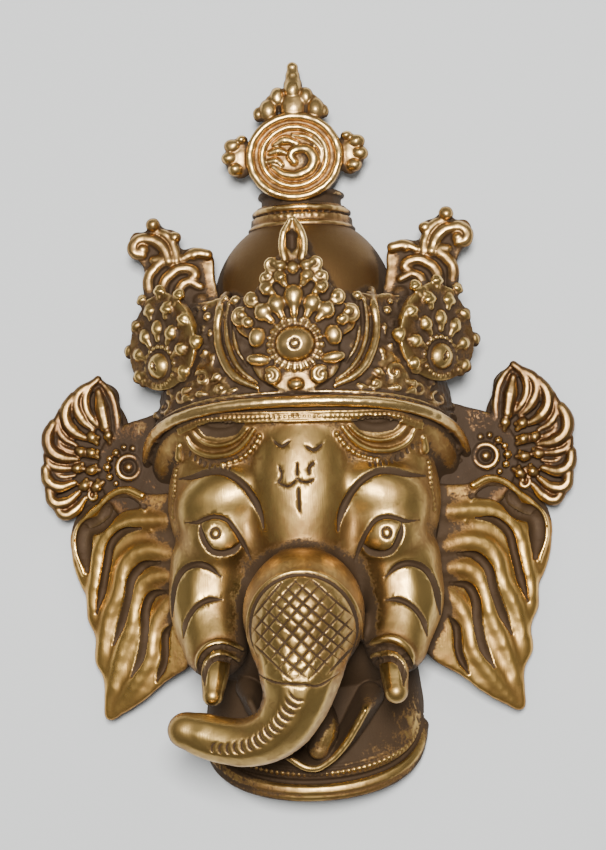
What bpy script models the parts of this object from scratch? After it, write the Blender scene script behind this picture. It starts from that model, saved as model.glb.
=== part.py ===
"""A hollow cast brass mask of an elephant-headed figure with a jewelled crown, lying on its back rim.

X runs to the right, Y towards the crown and Z out of the face. The origin is on the surface that
the mask lies on, under its middle.
"""
import math

import bmesh
import bpy
from mathutils import Euler, Matrix, Vector

NODE = "ganesha_mask"

# Sizes that are set by themselves, in metres.
MASK_HEIGHT = 0.218      # from the tip of the finial to the lip of the neck
WALL = 0.003             # cast wall of the face, crown, dome and neck
EAR_PLATE = 0.0034       # thickness of the ears and of the feather fans
LEAF_PLATE = 0.0032      # thickness of the crown leaves and ribbons
DISC_PLATE = 0.0045      # thickness of the medallion
RIM_CORD = 0.0034        # diameter of the rolled cord under the crown
NECK_LIP = 0.0032        # diameter of the rolled lip of the neck
HANG_WEB = 0.003         # thickness of the web inside the dome that the mask hangs by
HANG_HOLE = 0.006        # diameter of the hole in that web
HANG_MARGIN = 0.003      # web left on either side of that hole
FUSE_STEP = 0.0011       # grid on which the pressed wax forms grow together
OUTSIDE_FACETS = 8600    # triangles left on the outside after thinning
HOLLOW_FACETS = 1400     # and on the hollow

# The carving is drawn on a figure 218 units tall, and UNIT makes its shares of the height metres.
UNIT = MASK_HEIGHT / 218


def squared(x, z, square):
    """A point of a round cross-section moved out to a squarer one."""
    reach = math.hypot(x, z)
    if reach < 1e-9:
        return x, z
    norm = (abs(x / reach) ** square + abs(z / reach) ** square) ** (1 / square)
    return x / norm, z / norm


def clear_scene():
    for item in list(bpy.data.objects):
        bpy.data.objects.remove(item, do_unlink=True)


def new_object(name, mesh, collection):
    item = bpy.data.objects.new(name, mesh)
    collection.objects.link(item)
    return item


def evaluated_mesh(item):
    graph = bpy.context.evaluated_depsgraph_get()
    graph.update()
    return bpy.data.meshes.new_from_object(item.evaluated_get(graph))


def mesh_of_curve(curve):
    """The closed mesh of a curve with its end caps welded."""
    item = new_object("curve", curve, bpy.context.scene.collection)
    mesh = evaluated_mesh(item)
    bpy.data.objects.remove(item, do_unlink=True)
    shape = bmesh.new()
    shape.from_mesh(mesh)
    bmesh.ops.remove_doubles(shape, verts=shape.verts, dist=0.00001)
    shape.to_mesh(mesh)
    shape.free()
    return mesh


def modified(mesh, kind, **settings):
    """The mesh after one modifier."""
    item = new_object("work", mesh, bpy.context.scene.collection)
    modifier = item.modifiers.new(kind.title(), kind)
    for name, value in settings.items():
        setattr(modifier, name, value)
    result = evaluated_mesh(item)
    bpy.data.objects.remove(item, do_unlink=True)
    return result


def fused(mesh, soften=0):
    """Overlapping closed forms grown into one skin, with their seams softened."""
    skin = modified(mesh, "REMESH", mode="VOXEL", voxel_size=FUSE_STEP)
    if soften:
        skin = modified(skin, "SMOOTH", factor=0.5, iterations=soften)
    return skin


def finished(shape, name):
    """The mesh of a shape that needs no more work."""
    mesh = bpy.data.meshes.new(name)
    shape.to_mesh(mesh)
    shape.free()
    return mesh


class Wax:
    """Closed wax forms, in units of the figure, pressed onto each other before they are fused."""

    def __init__(self):
        self.forms = bmesh.new()
        self.ropes = bpy.data.curves.new("ropes", "CURVE")
        self.ropes.dimensions = "3D"
        self.ropes.bevel_depth = UNIT
        self.ropes.bevel_resolution = 2
        self.ropes.resolution_u = 5
        self.ropes.use_fill_caps = True

    def ball(self, centre, radii, turn=(0, 0, 0), square=2.0):
        place = Matrix.Translation(Vector(centre) * UNIT)
        spin = Euler([math.radians(angle) for angle in turn]).to_matrix().to_4x4()
        size = Matrix.Diagonal((*(radius * UNIT for radius in radii), 1))
        ball = bmesh.ops.create_icosphere(self.forms, subdivisions=3, radius=1)
        for vertex in ball["verts"]:
            vertex.co.x, vertex.co.z = squared(vertex.co.x, vertex.co.z, square)
        bmesh.ops.transform(self.forms, matrix=place @ spin @ size, verts=ball["verts"])

    def rope(self, points, radii, closed=False):
        """A round strand through the points, with round ends."""
        if not closed:
            for end in (0, -1):
                self.ball(points[end], (radii[end],) * 3)
        spline = self.ropes.splines.new("BEZIER")
        spline.bezier_points.add(len(points) - 1)
        spline.use_cyclic_u = closed
        for knot, point, radius in zip(spline.bezier_points, points, radii):
            knot.co = Vector(point) * UNIT
            knot.radius = radius
            knot.handle_left_type = "AUTO"
            knot.handle_right_type = "AUTO"

    def drum(self, low, high, wide_low, wide_high, flatness, square=2.0, slant=0.0):
        """A drum along Y with an oval cross-section, or a squarer one where square is over 2.

        Its lower end is cut aslant: it starts at low at the sides, and slant further up in front.
        """
        turn = Matrix.Rotation(math.radians(-90), 4, "X")
        place = Matrix.Translation(Vector((0, (low + high) / 2, 0)) * UNIT)
        drum = bmesh.ops.create_cone(
            self.forms, cap_ends=True, segments=64, radius1=wide_low * UNIT,
            radius2=wide_high * UNIT, depth=(high - low) * UNIT, matrix=place @ turn)
        for vertex in drum["verts"]:
            x, z = squared(vertex.co.x, vertex.co.z, square)
            vertex.co.x = x
            vertex.co.z = z * flatness
            if vertex.co.y < (low + high) / 2 * UNIT:
                rise = z / UNIT / wide_low
                vertex.co.y += slant * math.copysign(abs(rise) ** SLANT_BEND, rise) * UNIT

    def plate(self, outline, thickness, height):
        """A plate cut to an outline, whose middle then lies at height(x, y)."""
        curve = bpy.data.curves.new("outline", "CURVE")
        curve.dimensions = "2D"
        curve.fill_mode = "BOTH"
        curve.extrude = thickness / 2
        spline = curve.splines.new("BEZIER")
        spline.bezier_points.add(len(outline) - 1)
        spline.use_cyclic_u = True
        for knot, (x, y) in zip(spline.bezier_points, outline):
            knot.co = Vector((x, y, 0)) * UNIT
            knot.handle_left_type = "AUTO"
            knot.handle_right_type = "AUTO"
        sheet = fused(mesh_of_curve(curve))
        for vertex in sheet.vertices:
            vertex.co.z += height(vertex.co.x / UNIT, vertex.co.y / UNIT) * UNIT
        self.forms.from_mesh(sheet)

    def mesh(self):
        """All the forms in one mesh, which ends the pressing."""
        if self.ropes.splines:
            self.forms.from_mesh(mesh_of_curve(self.ropes))
        return finished(self.forms, "wax")


def mirrored(points, side):
    return [(side * point[0], *point[1:]) for point in points]


def arc(centre, radii, start, end, count, height):
    """Points along an oval arc, in degrees, where height(share) gives each point's Z."""
    points = []
    for step in range(count):
        share = step / (count - 1)
        angle = math.radians(start + (end - start) * share)
        x = centre[0] + radii[0] * math.cos(angle)
        y = centre[1] + radii[1] * math.sin(angle)
        points.append((x, y, height(share)))
    return points


# Hollow body: the face, cheeks, crown band, dome and neck.
SLANT_BEND = 0.55        # how soon an aslant edge levels out towards the front
NECK_SIDE = -84          # where the lip of the neck meets the back rim, at the sides
NECK_FRONT = -106.8      # where it reaches at the front
NECK_RADII = (32.5, 19)
MOUTH_OVERSHOOT = 8      # how far the hollow runs out past the end of the neck
DOME_CENTRE = (0, 38, 0)
DOME_RADIUS = 27
CROWN_FOOT = -21         # the crown's lower edge at the back rim, from where it rises aslant
CROWN_SLANT = 25
CROWN_TOP = 36
CROWN_WIDE = (46.5, 38)
CROWN_FLATNESS = 0.92
CROWN_SQUARE = 2.6


def crown_height(x, y):
    """Z of the crown band's outside."""
    front = CROWN_FOOT + CROWN_SLANT
    share = max(y - front, 0) / (CROWN_TOP - front)
    wide = CROWN_WIDE[0] + (CROWN_WIDE[1] - CROWN_WIDE[0]) * share
    rest = max(1 - (abs(x) / wide) ** CROWN_SQUARE, 0)
    return CROWN_FLATNESS * wide * rest ** (1 / CROWN_SQUARE)


def body_forms(wax, inset):
    """The hollow body's forms, drawn in by the inset, so that the same forms make the hollow."""
    def ball(centre, radii, turn=(0, 0, 0), square=2.0):
        wax.ball(centre, [radius - inset for radius in radii], turn, square)

    ball((0, -24, 0), (41.5, 48, 42))
    ball((0, -3, 0), (44.5, 27, 40.5), square=CROWN_SQUARE)
    ball((0, -50, 0), (39.5, 33, 30))
    ball((0, -20, 34), (15, 28, 12))
    ball((0.5, -54.5, 44), (17, 18.5, 22))
    for side in (-1, 1):
        ball((side * 21, -21, 31), (16, 10.5, 11), (0, 0, side * -18))
        ball((side * 24, -33, 33), (10, 9, 9.5))
        cheek = [(26, -40, 26), (27.5, -52, 28), (25.5, -63, 33)]
        wax.rope(mirrored(cheek, side), [13 - inset, 12 - inset, 9.5 - inset])
    ball(DOME_CENTRE, (DOME_RADIUS,) * 3)
    wide_low, wide_high = (wide - inset for wide in CROWN_WIDE)
    wax.drum(CROWN_FOOT + inset, CROWN_TOP - inset, wide_low, wide_high, CROWN_FLATNESS,
             CROWN_SQUARE, CROWN_SLANT)


def neck_form(wax, inset, overshoot):
    """The neck, a half-round spout whose end is cut aslant, further out at the front."""
    wide, tall = (radius - inset for radius in NECK_RADII)
    wax.drum(NECK_SIDE - overshoot, -70, wide, wide * 0.94, tall / wide, slant=NECK_FRONT - NECK_SIDE)


# Trunk, tusks, mouth and the lip of the neck.
TRUNK_PATH = [(0, -60, 50), (-0.5, -72, 54), (-2.7, -80, 54), (-7.5, -86, 52), (-15, -88.8, 50),
              (-22, -88.3, 49), (-28.6, -86.6, 48.5), (-32.5, -85.4, 48.5)]
TRUNK_RADII = [15, 11.2, 8.8, 7.6, 6.6, 5.9, 5.2, 4.2]


def face_forms(wax):
    wax.rope(TRUNK_PATH, TRUNK_RADII)
    for side in (-1, 1):
        wax.ball((side * 23.8, -33, 37), (6.6, 5, 6))
        lid = [(31, -29, 37), (27, -27.3, 41), (23, -26.8, 42.5), (19, -29.5, 43), (15.5, -36, 42)]
        wax.rope(mirrored(lid, side), [0.9, 1.5, 1.7, 1.6, 0.9])
        sheath = arc((side * 25, -67.2), (5.6, 3.6), 0, 330, 12, lambda share: 39.5)
        wax.rope(sheath, [1.3] * 12, closed=True)
        wax.rope(mirrored([(24.5, -64, 37), (25, -72, 42.5), (25.4, -78.2, 46)], side),
                 [4.1, 3.7, 2.7])
    mouth = [(-17, -79, 26), (-10, -91, 25), (0, -97.6, 24), (8.5, -92.5, 25), (16, -82, 28)]
    wax.rope(mouth, [1.4] * 5)
    wax.ball((0, -84, 13), (17, 13.5, 11))
    wax.ball((4.5, -89, 24.5), (4.2, 7, 3.8), (0, 0, -32))


def neck_lip(wax):
    drop = NECK_FRONT - NECK_SIDE
    wide, tall = NECK_RADII
    points = []
    for step in range(15):
        angle = math.radians(4 + 172 * step / 14)
        rise = math.sin(angle)
        points.append((wide * math.cos(angle), NECK_SIDE + drop * rise ** SLANT_BEND, tall * rise))
    wax.rope(points, [NECK_LIP / UNIT / 2] * 15)


# Crown: cord, leaves, standing curls, rosettes and ribbons.
def crown_cord(wax):
    wide = CROWN_WIDE[0] + 0.8
    points = []
    for step in range(19):
        angle = math.radians(4 + 172 * step / 18)
        x, rise = squared(math.cos(angle), math.sin(angle), CROWN_SQUARE)
        y = CROWN_FOOT + CROWN_SLANT * rise ** SLANT_BEND + 0.6
        points.append((x * wide, y, CROWN_FLATNESS * rise * wide))
    wax.rope(points, [RIM_CORD / UNIT / 2] * 19)


def petal_ring(wax, centre, turn, ring, petals, size):
    """Petals set around a centre, in the plane that the turn gives."""
    frame = Euler([math.radians(angle) for angle in turn]).to_matrix()
    for angle in petals:
        lean = math.radians(angle)
        out = frame @ Vector((math.cos(lean) * ring[0], math.sin(lean) * ring[1], 0))
        wax.ball(Vector(centre) + out, size, (turn[0], turn[1], turn[2] + angle))


def centre_leaf(wax):
    half = [(0, 7), (9, 10.5), (13.2, 17), (13.4, 24), (16.5, 29), (12, 33.5), (10.4, 38),
            (8.4, 41), (8, 44.5), (4.4, 46.8), (3.6, 51)]
    outline = half + [(0, 57)] + [(-x, y) for x, y in half[:0:-1]]

    def height(x, y):
        return 42 - 0.06 * (y - 7) - 0.012 * x * x
    wax.plate(outline, LEAF_PLATE, height)
    wax.ball((0, 20.5, 42.5), (7.4, 5.6, 3.4))
    petal_ring(wax, (0, 20, 42.8), (0, 0, 0), (10.4, 11.5), range(0, 181, 30), (3, 2.1, 2))
    petal_ring(wax, (0, 20, 42.2), (0, 0, 0), (10, 8), (205, 335), (2.6, 1.9, 1.8))
    wax.ball((0, 41.5, 40.5), (3, 3.4, 2.4))
    for side in (-1, 1):
        wax.ball((side * 5.4, 43, 39.6), (2.2, 2.6, 1.9))
        wax.ball((side * 14.6, 28.8, 39.6), (2.6, 2.6, 2))
        wax.ball((side * 6.8, 10.5, 42), (2.2, 2, 1.9))
        wax.rope(mirrored([(4.2, 46, 39.8), (3.4, 50.5, 39.6), (0.4, 56, 39)], side), [1.1, 1, 0.7])


def side_leaf(wax, side):
    """An egg-shaped leaf that stands at the corner of the crown and is turned outwards."""
    centre = (side * 39, 25, 26)
    lean = 36

    def height(x, y):
        return centre[2] - (abs(x) - abs(centre[0])) * math.tan(math.radians(lean))
    outline = []
    for step in range(16):
        angle = 2 * math.pi * step / 16
        reach = 10.4 - 1.6 * math.sin(angle)
        outline.append((centre[0] + reach * math.cos(angle), centre[1] + 14.4 * math.sin(angle)))
    wax.plate(outline, LEAF_PLATE / math.cos(math.radians(lean)), height)
    turn = (0, side * lean, 0)
    wax.ball((side * 39.6, 17.2, 26.8), (4, 4, 2.8), turn)
    petal_ring(wax, (side * 39.4, 17.6, 27), turn, (9.6, 11.5), range(20, 161, 28), (3, 2, 2))
    wax.ball((side * 41, 36.5, 25), (3.2, 2.4, 2), turn)


def standing_curls(wax, side):
    curl = [(22.2, 36), (23.2, 29), (22.6, 21), (19.5, 14.5), (14, 10.4), (9, 9)]
    points = [(side * x, y, crown_height(x, y) + 0.7) for x, y in curl]
    wax.rope(points, [1.9, 1.3, 1.3, 1.3, 1.2, 1])
    studs = ((24.2, 35.6, 2.2), (27.5, 12.5, 3), (33.4, 8.2, 2.3), (42, 6, 2.6), (44, 0, 2.4))
    for x, y, radius in studs:
        wax.ball((side * x, y, crown_height(x, y) + 0.3), (radius, radius, 2))


def ribbon(wax, side):
    """The ribbon end that curls up behind a side leaf."""
    outline = mirrored([(44, 34), (46, 42), (46.6, 49), (50.6, 54.6), (49.6, 59.4), (45.8, 60.2),
                        (43.2, 63.6), (40.6, 61), (36.2, 59.2), (35.4, 54.4), (31, 54.6),
                        (26.8, 53), (25.4, 45), (25.4, 33)], side)

    def height(x, y):
        return 12.5 - 0.1 * (y - 45)
    wax.plate(outline, LEAF_PLATE, height)
    scrolls = ([(38.8, 50.5), (40.8, 55), (45, 57.3), (48.6, 56.6), (49, 53.6), (46.6, 52.8)],
               [(44.6, 40.5), (44.8, 45.5), (42.7, 48.6), (41, 50.6)],
               [(40.4, 38), (40.3, 43.7), (37.7, 46.8), (34.3, 48), (30.6, 45.6)],
               [(36, 36), (36.1, 41), (33.2, 43.8), (29.6, 42.4)])
    for scroll in scrolls:
        points = [(side * x, y, height(x, y) + 1.7) for x, y in scroll]
        wax.rope(points, [1.5] + [1.7] * (len(points) - 2) + [1.3])
    for x, y, radius in ((43.4, 61.6, 2.3), (37, 57.6, 2), (31.4, 52.2, 2), (29.4, 38, 3.4)):
        wax.ball((side * x, y, 13), (radius, radius, radius))


# Dome neck, medallion and finial.
DISC_CENTRE = (-0.8, 80.4)
DISC_HEIGHT = 11.5


def medallion(wax):
    wax.drum(59, 66, 15.2, 15, 0.96)
    wax.drum(64, 71.5, 12, 11.6, 1.04)
    outline = [(x, y) for x, y, _ in arc(DISC_CENTRE, (14.4, 13.2), 0, 345, 24, lambda share: 0)]
    wax.plate(outline, DISC_PLATE, lambda x, y: DISC_HEIGHT)
    top = DISC_HEIGHT + DISC_PLATE / UNIT / 2
    for radius, thick in ((12.9, 1.5), (9.2, 0.9)):
        ring = arc(DISC_CENTRE, (radius, radius * 0.92), 0, 345, 24, lambda share: top)
        wax.rope(ring, [thick] * 24, closed=True)
    curl = []
    for step in range(10):
        angle = math.radians(200 - 42 * step)
        reach = 6.6 - 0.55 * step
        curl.append((DISC_CENTRE[0] + reach * math.cos(angle),
                     DISC_CENTRE[1] + reach * math.sin(angle), top - 0.1))
    wax.rope(curl, [1.2] * 10)
    for side in (-1, 1):
        x = DISC_CENTRE[0] + side * 16.4
        wax.ball((x, 81, DISC_HEIGHT), (4.6, 6.4, 2.4))
        wax.ball((x + side * 2.4, 81.6, DISC_HEIGHT), (2.6, 3.4, 2.6))
    tiers = ((0, 96, 5.6), (-7, 95, 3.8), (6.4, 95, 3.6), (-4.2, 99.2, 3.2), (3.8, 98.8, 3))
    for x, y, radius in tiers:
        wax.ball((DISC_CENTRE[0] + x, y, DISC_HEIGHT), (radius, radius, min(radius, 3.2)))
    x = DISC_CENTRE[0]
    wax.rope([(x, 98, DISC_HEIGHT), (x, 103.5, DISC_HEIGHT), (x, 108.2, DISC_HEIGHT)], [3.4, 2.6, 1.3])


# Ears and feather fans.
def ear_height(x, y):
    """The ears slope back from the cheeks to their outer edge."""
    return 4.4 + 0.27 * max(70 - abs(x), 0)


def ear(wax, side):
    outline = mirrored([(30, -20), (47, -17.6), (53.5, -15.4), (59.5, -17), (66, -20.4),
                        (70.4, -25.4), (71.2, -35.5), (68.4, -45), (66.6, -48.2), (66.8, -54),
                        (64.4, -59.6), (64.6, -67), (62, -72), (61.8, -78), (61, -84.2),
                        (55.8, -82.4), (49.4, -78.6), (43.9, -74.2), (33, -66)], side)
    wax.plate(outline, EAR_PLATE, ear_height)
    flutes = (([(46, -24), (56, -27.5), (61.2, -33), (63, -41.5), (64.4, -49), (64.2, -54)], 2.6),
              ([(43, -35.4), (49.4, -35.1), (54, -39), (56, -46.5), (59.6, -54), (62, -65)], 2.8),
              ([(42, -42), (47.8, -43.7), (50.8, -49), (52.2, -56), (55.6, -64), (59, -75)], 2.8),
              ([(38, -48.4), (42.6, -52.7), (45.6, -58), (47, -66), (52, -74), (57, -80.6)], 2.8))
    for crest, thick in flutes:
        points = [(side * x, y, ear_height(x, y) + 0.3) for x, y in crest]
        wax.rope(points, [thick] * 3 + [thick * 0.95, thick * 0.8, thick * 0.55])
    fold = [(49, -18.6), (54, -17), (59.6, -18.6), (64.6, -23), (69, -27.6), (69.4, -34), (67.4, -41)]
    points = [(side * x, y, ear_height(x, y) + 1.4) for x, y in fold]
    wax.rope(points, [2] * 6 + [1.2])


def fan(wax, side):
    """A fan of curled feathers behind the ear, spread from a small boss."""
    boss = (52.6, -10)
    lobes = ((72, 29.2), (46, 29.4), (23, 28.2), (-3, 26.6), (-29, 26.2))
    for angle, reach in lobes:
        lean = math.radians(angle)
        out = Vector((math.cos(lean), math.sin(lean), 0))
        tip = Vector((*boss, 8)) + out * (reach - 5)
        middle = Vector((*boss, 9)) + out * reach * 0.5
        wax.ball((side * tip.x, tip.y, 6.2), (5.4, 5.2, EAR_PLATE / UNIT * 0.62))
        wax.ball((side * middle.x, middle.y, 7), (9.4, 4.4, EAR_PLATE / UNIT * 0.7), (0, 0, side * angle))
        ridge = [Vector((*boss, 9)) + out * reach * share for share in (0.2, 0.5, 0.78)]
        wax.rope([(side * p.x, p.y, 8.6) for p in ridge], [1.5, 1.7, 1.6])
    wax.plate(mirrored([(36, -24), (36, 4), (50, 4), (58, 0), (62, -8), (60, -18), (54, -25)], side),
              EAR_PLATE, lambda x, y: 7 + 0.2 * max(60 - abs(x), 0))
    wax.ball((side * boss[0], boss[1], 11), (4, 4, 2.6))


def triangle_count(mesh):
    return sum(len(face.vertices) - 2 for face in mesh.polygons)


def brass():
    material = bpy.data.materials.new("brass")
    material.use_nodes = True
    surface = material.node_tree.nodes["Principled BSDF"]
    surface.inputs["Base Color"].default_value = (0.42, 0.28, 0.1, 1)
    surface.inputs["Metallic"].default_value = 1
    surface.inputs["Roughness"].default_value = 0.35
    return material


def thinned(mesh, facets):
    return modified(mesh, "DECIMATE", ratio=facets / triangle_count(mesh))


def outer_skin():
    """The whole outside as one skin, thinned to few triangles."""
    soft = Wax()
    body_forms(soft, 0)
    wax = Wax()
    wax.forms.from_mesh(fused(soft.mesh(), soften=3))
    neck_form(wax, 0, 0)
    face_forms(wax)
    neck_lip(wax)
    crown_cord(wax)
    centre_leaf(wax)
    medallion(wax)
    for side in (-1, 1):
        side_leaf(wax, side)
        standing_curls(wax, side)
        ribbon(wax, side)
        ear(wax, side)
        fan(wax, side)
    return thinned(fused(wax.mesh(), soften=1), OUTSIDE_FACETS)


def hollow_core():
    """What is cut out of the skin: the body drawn in by the wall, and open behind."""
    inset = WALL / UNIT
    wax = Wax()
    body_forms(wax, inset)
    neck_form(wax, inset, MOUTH_OVERSHOOT)
    return thinned(fused(wax.mesh(), soften=2), HOLLOW_FACETS)


def floor_block():
    """Everything below the surface that the mask lies on."""
    side = 2 * MASK_HEIGHT
    shape = bmesh.new()
    bmesh.ops.create_cube(shape, size=side, matrix=Matrix.Translation((0, 0, -side / 2)))
    return finished(shape, "floor_block")


def hanging_point():
    """The middle of the hanging hole, below the inside of the dome's wall."""
    drop = WALL + HANG_MARGIN + HANG_HOLE / 2
    return Vector(DOME_CENTRE) * UNIT + Vector((0, DOME_RADIUS * UNIT - drop, 0))


def hanging_web():
    """The flat web across the top of the dome's rim, with the hole that the mask hangs by."""
    shape = bmesh.new()
    centre = Vector(DOME_CENTRE) * UNIT
    radius = DOME_RADIUS * UNIT - WALL / 2
    place = Matrix.Translation(centre + Vector((0, 0, HANG_WEB / 2)))
    bmesh.ops.create_cone(
        shape, cap_ends=True, segments=64, radius1=radius, radius2=radius, depth=HANG_WEB, matrix=place)
    everything = list(shape.verts) + list(shape.edges) + list(shape.faces)
    edge = hanging_point() - Vector((0, HANG_HOLE / 2 + HANG_MARGIN, 0))
    cut = bmesh.ops.bisect_plane(
        shape, geom=everything, plane_co=edge, plane_no=(0, -1, 0), clear_outer=True)
    edges = [piece for piece in cut["geom_cut"] if isinstance(piece, bmesh.types.BMEdge)]
    bmesh.ops.holes_fill(shape, edges=edges)
    return finished(shape, "hanging_web")


def hole_cutter():
    shape = bmesh.new()
    bmesh.ops.create_cone(
        shape, cap_ends=True, segments=24, radius1=HANG_HOLE / 2, radius2=HANG_HOLE / 2,
        depth=4 * HANG_WEB, matrix=Matrix.Translation(hanging_point()))
    return finished(shape, "hanging_hole")


def main():
    clear_scene()
    parts = bpy.data.collections.new(NODE)
    cutters = bpy.data.collections.new("cutters")
    bpy.context.scene.collection.children.link(parts)
    bpy.context.scene.collection.children.link(cutters)
    mask = new_object(NODE, outer_skin(), parts)
    tools = (("hollow_core", hollow_core(), "DIFFERENCE"), ("floor_block", floor_block(), "DIFFERENCE"),
             ("hanging_web", hanging_web(), "UNION"), ("hanging_hole", hole_cutter(), "DIFFERENCE"))
    for name, mesh, operation in tools:
        cutter = new_object(name, mesh, cutters)
        cutter.hide_render = True
        cutter.display_type = "WIRE"
        modifier = mask.modifiers.new(name, "BOOLEAN")
        modifier.operation = operation
        modifier.object = cutter
        modifier.solver = "EXACT"
    mask.data.materials.clear()
    mask.data.materials.append(brass())


main()
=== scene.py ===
"""A hollow cast brass mask of an elephant-headed figure with a leaf crown, lying on a pale table."""
import math

import bmesh
import bpy
import numpy as np
from mathutils import Euler, Matrix, Vector
from mathutils import noise as lumps
from mathutils.bvhtree import BVHTree


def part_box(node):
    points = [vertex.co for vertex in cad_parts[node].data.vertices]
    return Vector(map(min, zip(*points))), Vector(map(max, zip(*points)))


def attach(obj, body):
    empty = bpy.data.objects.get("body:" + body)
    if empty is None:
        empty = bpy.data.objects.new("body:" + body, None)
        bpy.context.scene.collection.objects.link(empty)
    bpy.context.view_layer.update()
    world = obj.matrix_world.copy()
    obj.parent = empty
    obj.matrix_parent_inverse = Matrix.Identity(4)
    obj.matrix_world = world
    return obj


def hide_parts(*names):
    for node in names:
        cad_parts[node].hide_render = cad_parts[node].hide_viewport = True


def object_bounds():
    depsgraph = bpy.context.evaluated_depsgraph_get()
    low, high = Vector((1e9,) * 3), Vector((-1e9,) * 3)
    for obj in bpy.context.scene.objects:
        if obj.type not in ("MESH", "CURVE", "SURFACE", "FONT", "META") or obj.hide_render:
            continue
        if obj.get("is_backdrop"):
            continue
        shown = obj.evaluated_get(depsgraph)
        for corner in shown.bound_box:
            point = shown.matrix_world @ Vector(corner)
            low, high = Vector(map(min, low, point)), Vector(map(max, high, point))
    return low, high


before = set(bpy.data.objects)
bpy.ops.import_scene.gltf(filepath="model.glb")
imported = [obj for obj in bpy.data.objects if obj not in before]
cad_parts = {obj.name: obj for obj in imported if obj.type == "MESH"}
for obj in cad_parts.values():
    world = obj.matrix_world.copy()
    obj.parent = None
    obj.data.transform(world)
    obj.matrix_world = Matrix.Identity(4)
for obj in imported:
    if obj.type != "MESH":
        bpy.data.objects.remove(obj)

# The table, the camera and the light.
# The mask lies on its back rim on a matt pale grey table, as it would hang on a pale wall. A soft
# lamp hangs over the crown, a little to the right, and two weak ones stand at the left and the right.
NODE = "ganesha_mask"
cad_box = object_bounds()
low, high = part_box(NODE)
FIGURE_TALL = 217.3      # the carving is drawn on a figure this many units tall
UNIT = (high.y - low.y) / FIGURE_TALL

TARGET = Vector((0, 0, 20)) * UNIT
CAMERA_DISTANCE = 620 * UNIT
CAMERA_YAW, CAMERA_PITCH, CAMERA_ROLL = (math.radians(angle) for angle in (3.9, 5.0, 1.6))
FOCAL_PIXELS, FRAME_PIXELS = 2139, 850
SENSOR = 36

toward = Vector((math.tan(CAMERA_YAW), -math.tan(CAMERA_PITCH), 1)).normalized()
across = Vector((0, 1, 0)).cross(toward).normalized()
upward = toward.cross(across)
right = across * math.cos(CAMERA_ROLL) - upward * math.sin(CAMERA_ROLL)
above = across * math.sin(CAMERA_ROLL) + upward * math.cos(CAMERA_ROLL)
camera = bpy.data.objects.new("camera", bpy.data.cameras.new("camera"))
camera.data.sensor_fit = "VERTICAL"
camera.data.sensor_height = SENSOR
camera.data.lens = SENSOR * FOCAL_PIXELS / FRAME_PIXELS
place = Matrix((right, above, toward)).transposed().to_4x4()
camera.matrix_world = Matrix.Translation(TARGET + toward * CAMERA_DISTANCE) @ place
bpy.context.scene.collection.objects.link(camera)
bpy.context.scene.camera = camera

TABLE_SIDE = 4.0
TABLE_COLOUR = (0.74, 0.775, 0.8, 1)


def new_node(tree, kind, inputs=(), **settings):
    """A node with its settings and the values of its named or numbered inputs."""
    made = tree.nodes.new(kind)
    for name, value in settings.items():
        setattr(made, name, value)
    for name, value in dict(inputs).items():
        made.inputs[name].default_value = value
    return made


table_finish = bpy.data.materials.new("table")
table_finish.use_nodes = True
tree = table_finish.node_tree
paper = new_node(tree, "ShaderNodeTexNoise", {"Scale": 6.0, "Detail": 6.0})
darker = [shade * 0.96 for shade in TABLE_COLOUR]
tone = new_node(tree, "ShaderNodeMix", {6: darker, 7: TABLE_COLOUR}, data_type="RGBA")
surface = tree.nodes["Principled BSDF"]
surface.inputs["Roughness"].default_value = 0.8
surface.inputs["Specular IOR Level"].default_value = 0.2
tree.links.new(paper.outputs["Fac"], tone.inputs["Factor"])
tree.links.new(tone.outputs[2], surface.inputs["Base Color"])
shape = bmesh.new()
bmesh.ops.create_grid(shape, x_segments=1, y_segments=1, size=TABLE_SIDE / 2)
table = bpy.data.objects.new("table", bpy.data.meshes.new("table"))
shape.to_mesh(table.data)
shape.free()
table.data.materials.append(table_finish)
bpy.context.scene.collection.objects.link(table)
table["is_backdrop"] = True


def lamp(name, spot, size, power, colour):
    """A soft lamp at a spot in metres, which faces the mask."""
    light = bpy.data.lights.new(name, "AREA")
    light.shape = "RECTANGLE"
    light.size, light.size_y = size
    light.energy = power
    light.color = colour
    item = bpy.data.objects.new(name, light)
    item.location = spot
    item.rotation_euler = (TARGET - Vector(spot)).to_track_quat("-Z", "Y").to_euler()
    bpy.context.scene.collection.objects.link(item)


lamp("ceiling", (0.06, 0.1, 1.1), (0.2, 0.3), 21, (1.0, 0.97, 0.93))
lamp("window", (-0.6, 0.2, 1.0), (0.5, 0.7), 0.7, (1.0, 0.98, 0.95))
lamp("side", (0.6, 0.45, 0.9), (0.5, 0.6), 0.9, (1.0, 0.98, 0.96))
room = bpy.data.worlds.new("room")
room.use_nodes = True
room.node_tree.nodes["Background"].inputs["Color"].default_value = (0.8, 0.77, 0.73, 1)
room.node_tree.nodes["Background"].inputs["Strength"].default_value = 0.19
bpy.context.scene.world = room

# The wax face, with its trunk, tusks, mouth and neck.
# The mask is cast in one piece from a wax model: soft forms are pressed over a clay core, and beads,
# cords and curls of thin wax are laid on them. Lines are then cut into the wax with a graver.


def mesh_of(item):
    """The mesh of an object after its modifiers."""
    graph = bpy.context.evaluated_depsgraph_get()
    graph.update()
    return bpy.data.meshes.new_from_object(item.evaluated_get(graph))


def modified(mesh, kind, **settings):
    """The mesh after one modifier."""
    item = bpy.data.objects.new("work", mesh)
    bpy.context.scene.collection.objects.link(item)
    modifier = item.modifiers.new(kind.title(), kind)
    for name, value in settings.items():
        setattr(modifier, name, value)
    result = mesh_of(item)
    bpy.data.objects.remove(item, do_unlink=True)
    return result


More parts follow.
